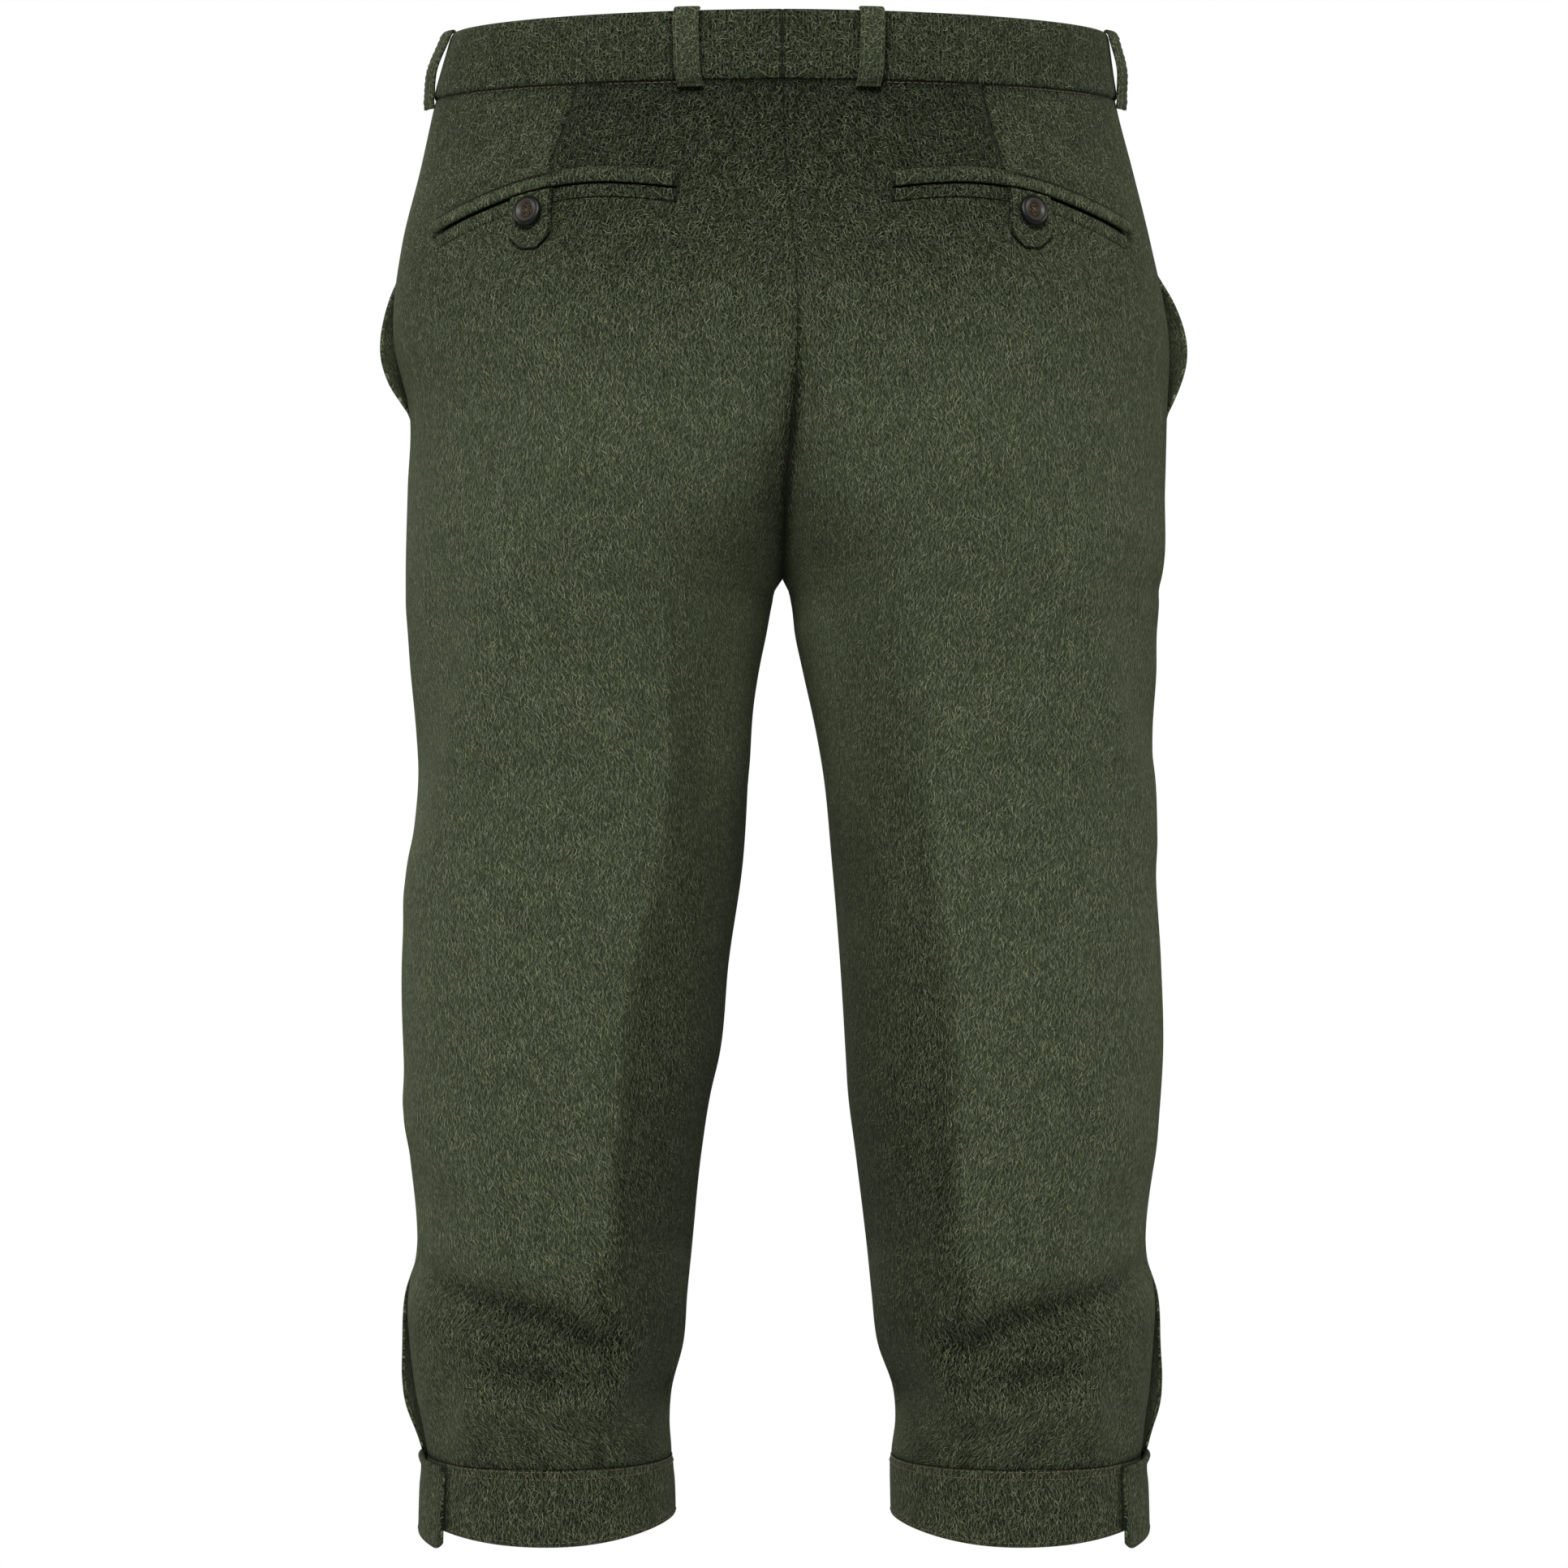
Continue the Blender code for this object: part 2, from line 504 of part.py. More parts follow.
def leg_panel(collection, side, face):
    """One quarter of the legs and seat: a wall lofted through unlike sections, with a layer of
    outer points and a layer of inner ones, because its edges mustn't lean over the seams."""
    name = ("back" if face == BACK else "front") + "_panel_" + side_name(side)
    heights = panel_heights()
    turns = panel_turns(side, face, heights)
    outer, normal = cloth_and_normal(side, face, turns, heights[:, None])
    inner = outer - CLOTH * normal
    inner[(0, -1), :, 2] = outer[(0, -1), :, 2]
    outer = keep_clear(outer, side, face, heights)
    inner = keep_clear(inner, side, face, heights)
    rows, columns = turns.shape
    mesh = bmesh.new()
    layers = []
    for grid in (outer, inner):
        layers.append([[mesh.verts.new(Vector(point) * MM) for point in row] for row in grid])
    outside, inside = layers if points_away(outer, side) else layers[::-1]
    for row in range(rows - 1):
        for place in range(columns - 1):
            corners = ((row, place), (row, place + 1), (row + 1, place + 1), (row + 1, place))
            mesh.faces.new([outside[r][c] for r, c in corners])
            mesh.faces.new([inside[r][c] for r, c in corners[::-1]])
    border = [(0, place) for place in range(columns)]
    border += [(row, columns - 1) for row in range(1, rows)]
    border += [(rows - 1, place) for place in range(columns - 2, -1, -1)]
    border += [(row, 0) for row in range(rows - 2, 0, -1)]
    for (row, place), (next_row, next_place) in zip(border, border[1:] + border[:1]):
        mesh.faces.new((outside[next_row][next_place], outside[row][place],
                        inside[row][place], inside[next_row][next_place]))
    return finished(collection, name, mesh, WOOL)


def finished(collection, name, mesh, colour):
    """An object from a bmesh, shaded smooth but for its sharp edges, with its own wool."""
    data = bpy.data.meshes.new(name)
    mesh.to_mesh(data)
    mesh.free()
    data.shade_smooth()
    data.set_sharp_from_angle(angle=math.radians(50.0))
    data.materials.append(wool_material(name + "_wool", colour))
    thing = bpy.data.objects.new(name, data)
    collection.objects.link(thing)
    return thing


def waistband(collection, side):
    """Half the waistband. The left half runs on over the right one at the front."""
    low, high = -BAND_HEIGHT / 2.0 + SEAM_GAP / 2.0, BAND_HEIGHT / 2.0
    rows = np.array((low, low + BAND_ROLL, 0.0, high - BAND_ROLL, high))
    proud = BAND_PROUD - np.array(BAND_ROUNDING)
    quarter = np.linspace(0.0, math.pi / 2.0, BAND_STEPS)
    back_turns = np.sort(np.append(quarter[1:], BESIDE_SEAM))[::-1]
    stations = [(side, BACK, turn, 0.0) for turn in back_turns]
    stations += [(side, FRONT, turn, 0.0) for turn in quarter[:-2]]
    for across, share in BAND_END:
        over = share * (BAND_THICK + REST_GAP) if side == LEFT else 0.0
        if across > 0.0 or side == LEFT:
            end_side = side if across > 0.0 else -side
            stations.append((end_side, FRONT, float(turn_at(end_side, FRONT, abs(across), 0.0)), over))
    columns = []
    for station_side, face, turn, over in stations:
        turns = np.full(len(rows), float(turn))
        columns.append(moved_out(station_side, face, turns, rows, proud + over))
    grid = np.stack(columns, axis=1)
    grid[:, 0, 0] = side * (SEAM_GAP / 2.0 + BAND_LEAN)
    return sheet(collection, "waistband_" + side_name(side), side, grid, BAND_THICK)


def belt_loop(collection, name, side, face, turn_degrees, width, course):
    """A strip that stands off the waistband between its two sewn ends."""
    heights = np.array([height for height, _ in course])
    stand = np.array([lift for _, lift in course])
    turn = math.radians(turn_degrees)
    _, normal = cloth_and_normal(side, face, turn, 0.0)
    outward = np.array((normal[0], normal[1], 0.0))
    outward = outward / np.linalg.norm(outward)
    along = np.cross((0.0, 0.0, 1.0), outward)
    centre = cloth(side, face, np.full(len(heights), turn), heights, folded=False)
    centre = centre + outward * stand[:, None]
    shares = np.array((-0.5, 0.0, 0.5))
    crown = LOOP_CROWN * (1.0 - (2.0 * shares) ** 2)
    grid = centre[:, None, :] + along * (width * shares)[None, :, None] + outward * crown[None, :, None]
    return sheet(collection, name, side, grid, CLOTH, outward=True)


def mouth(across):
    """Height of the back pocket's mouth."""
    return smooth(POCKET_MOUTH, across)


def welts(collection, side):
    """The back pocket's two welts: the upper one is fuller, and the lower one lies under the tab."""
    across = np.linspace(WELT_SPAN[1], WELT_SPAN[0], WELT_STEPS)
    for name, thickness, rows, stands in WELTS:
        heights = mouth(across)[None, :] + np.array(rows)[:, None]
        turns = turn_at(side, BACK, across[None, :], heights)
        lifts = np.broadcast_to(np.array(stands)[:, None], turns.shape)
        grid = moved_out(side, BACK, turns, heights, lifts)
        sheet(collection, name + side_name(side), side, grid, thickness, outward=True)


def tab_place(side, share):
    """Middle of the pocket tab at a share of its length, as distance from the middle and height."""
    across = TAB_MIDDLE[side] + TAB_LEAN * share
    return across, mouth(TAB_MIDDLE[side]) - TAB_ROOT_GAP - TAB_LENGTH * share


def pocket_tab(collection, side):
    """A tongue that comes out of the pocket's mouth and narrows to its tip."""
    share = np.array(TAB_ROWS)
    narrowing = np.clip((share - TAB_TAPER_START) / (1.0 - TAB_TAPER_START), 0.0, 1.0)
    half = TAB_WIDTH / 2.0 * (1.0 - (1.0 - TAB_TIP_WIDTH) * narrowing ** 1.3)
    lift = np.interp(share, *zip(*TAB_COURSE))
    across_shares = np.linspace(1.0, -1.0, 6)
    middle, height = tab_place(side, share)
    across = middle[:, None] + half[:, None] * across_shares
    slope = (mouth(across) - mouth(TAB_MIDDLE[side])) * (1.0 - share[:, None])
    heights = height[:, None] + slope
    turns = turn_at(side, BACK, across, heights)
    grid = moved_out(side, BACK, turns, heights, np.broadcast_to(lift[:, None], turns.shape))
    sheet(collection, "back_pocket_tab_" + side_name(side), side, grid, TRIM_CLOTH, outward=True)


def button(collection, cutters, name, point, normal):
    """A dished horn button with four holes, its back on the point given and its face outward."""
    mesh = bmesh.new()
    corners = [mesh.verts.new((radius * MM, 0.0, height * MM)) for radius, height in BUTTON_SECTION]
    for start, end in zip(corners, corners[1:]):
        mesh.edges.new((start, end))
    data = bpy.data.meshes.new(name)
    mesh.to_mesh(data)
    mesh.free()
    thing = bpy.data.objects.new(name, data)
    collection.objects.link(thing)
    turned = thing.modifiers.new("turned", "SCREW")
    turned.angle = 2.0 * math.pi
    turned.steps = turned.render_steps = 16
    turned.axis = "Z"
    turned.use_merge_vertices = True
    turned.merge_threshold = 0.00001
    turned.use_smooth_shade = True
    place(thing, point, normal)
    for number in range(4):
        angle = math.pi / 4.0 + number * math.pi / 2.0
        bpy.ops.mesh.primitive_cylinder_add(vertices=6, radius=BUTTON_HOLE * MM, depth=8.0 * MM)
        drill = bpy.context.object
        drill.name = f"{name}_hole_{number + 1}"
        for user in list(drill.users_collection):
            user.objects.unlink(drill)
        cutters.objects.link(drill)
        offset = Vector((math.cos(angle), math.sin(angle), 0.0)) * BUTTON_HOLES_OUT * MM
        drill.rotation_euler = thing.rotation_euler
        drill.location = thing.location + thing.rotation_euler.to_matrix() @ offset
        drill.hide_render = True
        drill.display_type = "WIRE"
        hole = thing.modifiers.new(f"hole_{number + 1}", "BOOLEAN")
        hole.object = drill
        hole.operation = "DIFFERENCE"
        hole.solver = "EXACT"
    data.materials.append(wool_material(name + "_horn", HORN, roughness=0.4))


def place(thing, point, normal):
    """Stand an object on a point in millimetres, its +Z along the normal."""
    thing.location = Vector([float(value) for value in point]) * MM
    thing.rotation_euler = Vector([float(value) for value in normal]).to_track_quat("Z", "Y").to_euler()


def pocket_button(collection, cutters, side):
    """The back pocket's button, on its tab."""
    across, height = tab_place(side, BUTTON_DROP / TAB_LENGTH)
    turn = turn_at(side, BACK, across, height)
    lift = OVER_WELT + TRIM_CLOTH + BUTTON_STAND
    point, normal = cloth_and_normal(side, BACK, turn, height)
    button(collection, cutters, "back_pocket_button_" + side_name(side), point + normal * lift, normal)


def waist_button(collection, cutters):
    """The button that closes the waistband's lap."""
    turn = turn_at(RIGHT, FRONT, BAND_LAP - WAIST_BUTTON_IN, 0.0)
    point, normal = cloth_and_normal(RIGHT, FRONT, turn, 0.0)
    lift = BAND_PROUD + BAND_THICK + SEAM_GAP + WAIST_BUTTON_STAND
    button(collection, cutters, "waist_button", point + normal * lift, normal)


def side_pocket_facing(collection, side):
    """The cloth seen inside the side pocket's mouth, under the edge of the front panel."""
    heights = np.array(FACING_ROWS, dtype=float)
    _, _, depth, _ = ring(side, FRONT, heights)
    near, far = -FACING_LAPS[0], pocket_slant(heights) + FACING_LAPS[1]
    from_seam = near + (far - near)[:, None] * np.linspace(0.0, 1.0, 7)
    bend = roundness(heights)[:, None]
    turns = np.sign(from_seam) * np.arcsin((np.abs(from_seam) / depth[:, None]) ** (1.0 / bend))
    lift = np.full(turns.shape, -FACING_DEPTH)
    grid = moved_out(side, FRONT, turns, heights[:, None], lift, folded=False, gaping=False)
    sheet(collection, "side_pocket_facing_" + side_name(side), side, grid, TRIM_CLOTH, colour=WOOL_DARK)


def fly(collection):
    """The fly's lap: straight at the front edge, curved into it at its lower end."""
    top = -BAND_HEIGHT / 2.0 - SEAM_GAP
    heights = np.linspace(top, FLY_END, 12)
    bend = np.clip((heights - FLY_END) / FLY_BEND, 0.0, 1.0)
    tip = FLY_EDGE + FLY_TIP
    far = tip + (FLY_WIDTH - tip) * np.sqrt(1.0 - (1.0 - bend) ** 2)
    shares = np.linspace(0.0, 1.0, 6)
    across = FLY_EDGE + (far - FLY_EDGE)[:, None] * shares
    lift = np.broadcast_to(REST_GAP, across.shape)
    tall = heights[:, None]
    left = moved_out(LEFT, FRONT, turn_at(LEFT, FRONT, np.abs(across), tall), tall, lift)
    right = moved_out(RIGHT, FRONT, turn_at(RIGHT, FRONT, np.abs(across), tall), tall, lift)
    grid = np.where((across > 0.0)[..., None], left, right)
    sheet(collection, "fly_lap", LEFT, grid, TRIM_CLOTH, outward=True)


def hem(turn):
    """Height of the hem at a turn round the cuff."""
    cosine = math.cos(turn)
    return CUFF_BOTTOM + cosine ** 2 * (HEM_RISE_OUTER if cosine > 0.0 else HEM_RISE_INNER)


def cuff(collection, side):
    """The cuff band, a ring under the leg."""
    top = CUFF_TOP - SEAM_GAP / 2.0
    shares, lifts = np.array(CUFF_ROWS).T
    stations = [(BACK, math.pi * step / CUFF_STEPS) for step in range(CUFF_STEPS)]
    stations += [(FRONT, math.pi * (CUFF_STEPS - step) / CUFF_STEPS) for step in range(CUFF_STEPS)]
    columns = []
    for face, turn in stations:
        heights = top + (hem(turn) - top) * shares
        turns = np.full(len(heights), turn)
        columns.append(moved_out(side, face, turns, heights, lifts, folded=False, gaping=False))
    sheet(collection, "cuff_" + side_name(side), side, np.stack(columns, axis=1), CUFF_THICK, closed=True)


def cuff_tab(collection, side):
    """The end of the cuff that laps over the vent, its free end hanging a little low."""
    start, end = (math.radians(turn) for turn in CUFF_TAB_TURNS)
    turns = np.linspace(start, end, 10)
    shares = np.linspace(0.0, 1.0, 6)
    along = (turns - start) / (end - start)
    falling = np.clip((along - CUFF_TAB_DROP_START) / (1.0 - CUFF_TAB_DROP_START), 0.0, 1.0)
    drop = CUFF_TAB_DROP * falling ** 1.3
    cut_off = np.clip((along - CUFF_TAB_CORNER_START) / (1.0 - CUFF_TAB_CORNER_START), 0.0, 1.0)
    corner = CUFF_TAB_CORNER * cut_off ** 2
    top = CUFF_TOP - 1.5 - 0.3 * drop
    bottom = CUFF_BOTTOM + 0.4 - drop + corner
    columns = []
    for turn, high, low, share in zip(turns, top, bottom, along):
        heights = high + (low - high) * shares
        face = BACK if turn > 0.0 else FRONT
        lift = CUFF_PROUD + REST_GAP + CUFF_TAB_LIFT * share * shares ** 2
        held = np.maximum(heights, CUFF_BOTTOM)
        turned = np.full(len(shares), abs(turn))
        point = moved_out(side, face, turned, held, lift, folded=False, gaping=False)
        point[:, 2] = heights
        columns.append(point)
    grid = np.stack(columns, axis=1)
    sheet(collection, "cuff_tab_" + side_name(side), side, grid, CUFF_TAB_THICK, outward=True)


def clear_scene():
    for thing in list(bpy.data.objects):
        bpy.data.objects.remove(thing, do_unlink=True)


def new_collection(name):
    collection = bpy.data.collections.new(name)
    bpy.context.scene.collection.children.link(collection)
    return collection


def build():
    clear_scene()
    breeches = new_collection("knee_breeches")
    cutters = new_collection("cutters")
    for side in BOTH:
        for face in (BACK, FRONT):
            leg_panel(breeches, side, face)
        waistband(breeches, side)
        welts(breeches, side)
        pocket_tab(breeches, side)
        pocket_button(breeches, cutters, side)
        side_pocket_facing(breeches, side)
        cuff(breeches, side)
        cuff_tab(breeches, side)
    for name, side, face, turn_degrees, width, course in LOOPS:
        belt_loop(breeches, name, side, face, turn_degrees, width, course)
    fly(breeches)
    waist_button(breeches, cutters)


build()
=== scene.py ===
"""Looks for a pair of knee breeches in heavy green loden, in the shape they take when worn.

Frame: metres, +Z up. The wearer faces -Y, so the seat is at +Y, and the wearer's left leg is at +X.
The origin is the middle of the waistband, at half its height. Sizes below are in millimetres.

A leg is a ring of cloth. A place on it is given by
  side    +1 for the left leg, -1 for the right
  face    +1 for the back half of the ring, -1 for the front half
  turn    the angle round the ring, 0 at the side seam and growing towards the seat seam or inseam
  height  the height above the origin
"""

import math

import bmesh
import bpy
import numpy as np
from mathutils import Matrix, Vector


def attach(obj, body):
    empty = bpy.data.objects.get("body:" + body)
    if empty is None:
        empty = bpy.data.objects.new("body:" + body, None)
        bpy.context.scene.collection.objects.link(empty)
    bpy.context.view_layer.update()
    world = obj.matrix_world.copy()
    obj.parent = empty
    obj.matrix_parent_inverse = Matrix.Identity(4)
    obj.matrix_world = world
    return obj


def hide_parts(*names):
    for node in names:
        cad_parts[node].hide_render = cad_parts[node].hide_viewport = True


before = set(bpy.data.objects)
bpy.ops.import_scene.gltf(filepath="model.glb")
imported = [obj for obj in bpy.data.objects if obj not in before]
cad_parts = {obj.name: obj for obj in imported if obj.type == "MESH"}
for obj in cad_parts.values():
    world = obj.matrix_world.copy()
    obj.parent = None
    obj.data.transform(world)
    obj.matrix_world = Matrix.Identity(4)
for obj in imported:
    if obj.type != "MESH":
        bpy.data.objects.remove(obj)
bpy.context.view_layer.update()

LEFT, RIGHT = 1, -1
BACK, FRONT = 1, -1
BOTH = (LEFT, RIGHT)
MM = 0.001

# Sizes shared with the solids
CLOTH = 2.0             # one layer of felted wool
TRIM_CLOTH = 1.5        # a pressed trim piece
SEAM_GAP = 0.3
REST_GAP = 0.6
BAND_HEIGHT = 34.0
BAND_THICK = 4.0
BAND_PROUD = 1.5
BAND_LAP = 34.0
CROTCH = -259.0
CUFF_TOP = -700.0
CUFF_BOTTOM = -738.5
CUFF_THICK = 3.0
CUFF_PROUD = 0.8
LEG_AXIS = 110.0
SEAM_FADE = 14.0

# Exponent of the ring's sine and cosine, by height; 1 is an ellipse, less is squarer
ROUNDING = ((17, 1.13), (-17, 1.07), (-60, 0.99), (-110, 0.94))

SHAPE_COLUMNS = ("height", "out_left", "out_right", "in_left", "in_right", "back", "front")
SHAPE = (
    (17, 165.5, 163, 0, 0, 117, 114),
    (-17, 175, 168, 0, 0, 119, 114),
    (-53, 183, 177, 0, 0, 123, 114),
    (-90, 192, 186, 0, 0, 130, 116),
    (-139, 196, 195, 0, 0, 135, 116),
    (-176, 188, 194, 0, 0, 134, 116),
    (-213, 189, 193, 0, 0, 130, 116),
    (-259, 190, 191, 0, 0, 121, 116),
    (-263, 190, 190, 3.2, 2.4, 120, 115),
    (-271, 190, 190, 5.2, 4.4, 118, 114),
    (-287, 189, 189, 8.2, 6.4, 115, 113),
    (-303, 188, 189, 11.5, 9.8, 112, 112),
    (-336, 185, 187, 16, 17, 108, 110),
    (-353, 184, 187, 17, 20, 106, 108),
    (-402, 188, 188, 20, 25, 102, 104),
    (-451, 192, 191, 27, 29, 99, 101),
    (-500, 191, 192, 32, 32, 96, 98),
    (-517, 190, 191, 36, 33, 95, 97),
    (-549, 188, 188, 41, 37, 93, 95),
    (-599, 185, 184, 46, 43, 90, 93),
    (-619, 189, 188, 48, 45, 87, 92),
    (-644, 188, 187, 50, 48, 86, 91),
    (-668, 185, 185, 56, 56, 82, 86),
    (-683, 182, 183, 57, 57, 75, 78),
    (-700, 179, 181, 56, 55, 66, 66),
    (-704, 178.5, 180.2, 56, 55, 65, 65),
    (-715, 179.2, 180.8, 55, 55, 65, 65),
    (-738, 179.7, 181.3, 54, 55, 64, 64),
)

# How the two legs become one above the crotch
PARTING_COLUMNS = ("above_crotch", "back", "front")
PARTING = (
    (0, 1.000, 1.000),
    (3, 0.988, 0.984),
    (10, 0.935, 0.900),
    (20, 0.830, 0.740),
    (32, 0.690, 0.560),
    (50, 0.490, 0.345),
    (68, 0.350, 0.200),
    (86, 0.242, 0.105),
    (105, 0.150, 0.040),
    (125, 0.080, 0.010),
    (160, 0.000, 0.000),
)

# The line of the dart and the pressed crease
CREASE_COLUMNS = ("height", "back_left", "back_right", "front_left", "front_right", "lift")
CREASE = (
    (0, 101, 98, 62, 62, 0.0),
    (-17, 102, 99, 64, 64, -1.0),
    (-62, 115, 109, 70, 70, -0.8),
    (-100, 110, 108, 74, 74, 0.0),
    (-180, 85, 78, 80, 80, 0.3),
    (-250, 61, 60, 84, 82, 2.0),
    (-295, 57, 66, 86, 84, 3.2),
    (-357, 57, 73, 89, 88, 3.6),
    (-405, 65, 78, 93, 92, 3.6),
    (-460, 76, 84, 98, 98, 4.0),
    (-531, 83, 88, 103, 103, 4.0),
    (-606, 89, 91, 108, 108, 2.5),
    (-640, 91, 93, 111, 111, 0.4),
    (-700, 96, 98, 114, 114, 0.0),
)
CREASE_SPREAD = 24.0

# How far the middle of the seat lies to the right, by height, and within what distance of it
SEAT_LEAN = ((-17, 0.0), (-60, -2.0), (-115, -7.0), (-160, -7.0), (-205, -3.0), (-259, 0.0))
SEAT_LEAN_REACH = 45.0
# The seat seam is drawn in between the halves of the seat, by this much
SEAT_VALLEY = ((-125, 0.0), (-150, 2.5), (-180, 7.0), (-210, 9.0), (-235, 7.0), (-252, 2.0), (-259, 0.0))
SEAT_VALLEY_REACH = 10.0

POCKET_SLANT = 35.0     # distance of the side pocket's mouth from the side seam, at the band
POCKET_END = -178.0     # and the height at which it meets the seam
# How far the front panel's edge stands out at the side pocket and at the vent above the cuff, by height
POCKET_GAPE = {
    LEFT: ((-93, 0.0), (-104, 2.2), (-116, 5.2), (-127, 7.2), (-139, 8.8), (-151, 9.3), (-162, 7.6),
           (-170, 4.0), (-176, 0.9), (-180, 0.0)),
    RIGHT: ((-88, 0.0), (-98, 1.6), (-106, 4.2), (-116, 7.6), (-127, 9.9), (-139, 10.9), (-151, 9.8),
            (-162, 6.6), (-170, 3.4), (-176, 0.7), (-180, 0.0)),
}
VENT_PUFF = (
    (-604, 0.0), (-614, 1.2), (-633, 3.2), (-648, 4.8), (-662, 6.6), (-677, 7.0), (-690, 4.4), (-700, 2.8),
)
EDGE_REACH = 46.0       # and how far in from the edge the cloth is lifted with it
FACING_DEPTH = 3.2      # how far the side pocket's facing lies inside the panels
FACING_LAPS = (5.0, 24.0)       # and how far it runs on past the seam and past the mouth

# The largest folds, as in the solids: (sides, face, height, half width, line)
FOLDS = (
    ((LEFT,), BACK, -3.2, 15, ((57, -286), (41, -345), (25, -408))),
    ((LEFT,), BACK, 2.4, 12, ((41, -288), (21, -358))),
    ((LEFT,), BACK, 4.0, 16, ((143, -262), (150, -308), (160, -348), (171, -396), (182, -416))),
    ((LEFT,), BACK, -3.0, 14, ((162, -262), (168, -308), (177, -346), (184, -380))),
    ((RIGHT,), BACK, 3.6, 15, ((147, -258), (159, -308), (170, -348), (181, -388))),
    ((RIGHT,), BACK, -3.0, 13, ((164, -262), (174, -308), (183, -342))),
    ((RIGHT,), BACK, -2.6, 11, ((75, -436), (80, -480), (81, -516))),
    ((RIGHT,), BACK, 2.4, 17, ((54, -392), (60, -440), (62, -494))),
    ((RIGHT,), BACK, -2.6, 12, ((34, -388), (36, -432))),
    ((LEFT,), BACK, -3.0, 16, ((69, -440), (72, -500), (74, -560))),
    ((LEFT,), BACK, 4.2, 14, ((184, -524), (172, -544), (156, -560))),
    ((RIGHT,), BACK, 4.2, 14, ((152, -512), (168, -542), (158, -560))),
    ((LEFT,), BACK, -2.6, 14, ((182, -548), (166, -568), (148, -582))),
    ((RIGHT,), BACK, -2.6, 14, ((174, -562), (160, -578), (146, -586))),
    (BOTH, BACK, -11.5, 13, ((174, -609), (153, -617), (130, -623), (112, -628), (93, -637))),
    (BOTH, BACK, 3.0, 10, ((164, -632), (132, -638), (110, -644))),
    (BOTH, BACK, -6.0, 9, ((137, -652), (118, -656), (96, -657))),
    (BOTH, BACK, 5.2, 10, ((93, -610), (82, -624), (75, -637), (83, -655), (92, -672))),
    (BOTH, BACK, -5.0, 15, ((54, -580), (60, -598))),
    (BOTH, BACK, -4.6, 13, ((58, -652), (64, -672))),
    (BOTH, BACK, 4.0, 9, ((148, -660), (156, -688))),
    (BOTH, BACK, -3.4, 8, ((167, -658), (169, -688))),
    (BOTH, BACK, -4.2, 7, ((100, -668), (92, -688))),
    (BOTH, BACK, -3.4, 7, ((132, -678), (126, -696))),
    (BOTH, BACK, 5.0, 30, ((95, -178), (98, -222))),
    (BOTH, FRONT, -3.4, 15, ((44, -262), (70, -282), (104, -290))),
    (BOTH, FRONT, 3.0, 15, ((40, -284), (72, -312), (110, -322))),
    ((LEFT,), FRONT, -3.0, 15, ((160, -380), (132, -412), (110, -420))),
    ((RIGHT,), FRONT, -3.0, 15, ((158, -398), (130, -424), (108, -430))),
    (BOTH, FRONT, 6.0, 34, ((108, -486), (110, -510))),
    (BOTH, FRONT, -4.0, 13, ((60, -552), (96, -566), (150, -556))),
    (BOTH, FRONT, 3.4, 12, ((62, -580), (104, -592), (152, -582))),
    (BOTH, FRONT, -6.0, 12, ((64, -606), (100, -622), (160, -616))),
    (BOTH, FRONT, 3.0, 10, ((82, -648), (90, -676))),
    (BOTH, FRONT, -3.2, 9, ((104, -652), (108, -688))),
    (BOTH, FRONT, 3.0, 10, ((134, -650), (132, -682))),
    (BOTH, FRONT, -3.0, 9, ((154, -656), (148, -690))),
)

# Belt loops: (name, side, face, turn in degrees, width)
LOOPS = (
    ("belt_loop_back_left", LEFT, BACK, 72.8, 13.0),
    ("belt_loop_back_right", RIGHT, BACK, 73.4, 12.4),
    ("belt_loop_side_left", LEFT, BACK, 4.8, 12.4),
    ("belt_loop_side_right", RIGHT, BACK, 4.8, 12.4),
    ("belt_loop_front_left", LEFT, FRONT, 67.8, 12.4),
    ("belt_loop_front_right", RIGHT, FRONT, 67.8, 12.4),
)
# A loop's course down over the waistband: height, and how far its inner face stands over the panel
LOOP_COURSE = (
    (17.8, 1.9), (16.6, 4.6), (12.0, 6.8), (4.0, 7.5), (-5.0, 7.6), (-11.5, 7.0), (-16.5, 4.6),
    (-19.0, 1.9), (-20.8, 0.7),
)
SIDE_LOOP_COURSE = (
    (16.8, 0.3), (17.0, 1.5), (16.0, 2.6), (13.0, 3.1), (9.0, 3.7), (3.0, 4.6), (-3.0, 4.8), (-9.0, 3.9),
    (-14.0, 2.8), (-18.0, 2.1), (-20.5, 1.2), (-22.0, 0.7),
)
SIDE_LOOP_TURN = 45.0   # a loop at a smaller turn than this is a side loop
LOOP_HALF = 6.5         # half the width over which a loop is crowned
LOOP_CROWN = 1.1        # how much higher its middle is than its edges
LOOP_TWIST = 0.22       # how much further out a side loop's front edge stands, for each millimetre across it
LOOP_LEAN = {LEFT: 7.0, RIGHT: 5.6}     # how far a back or front loop runs towards the middle on its way down

# Height of the back pocket's mouth, by distance from the middle
POCKET_MOUTH = (
    (50, -70.5), (70, -68), (92, -67), (110, -68.5), (125, -71.5), (145, -78), (160, -84), (172, -90),
)
MOUTH_GAP = 0.9         # the mouth's opening, between its welts
UPPER_WELT_TALL = 7.4
LOWER_WELT_TALL = 6.0
LOWER_WELT_THICK = 1.2
WELT_THICK = 2.8
WELT_SPAN = (52.0, 170.0)
TAB_WIDTH = 20.6
TAB_ROOT_GAP = 1.1
TAB_LENGTH = 27.0
TAB_MIDDLE = {LEFT: 121.0, RIGHT: 119.0}
TAB_LEAN = 2.4
TAB_TAPER_START = 0.72
TAB_TIP_WIDTH = 0.34
TAB_OVER_WELT = REST_GAP + LOWER_WELT_THICK + 0.9       # how far the tab's inner face stands over the panel
BUTTON_WIDTH = 15.0
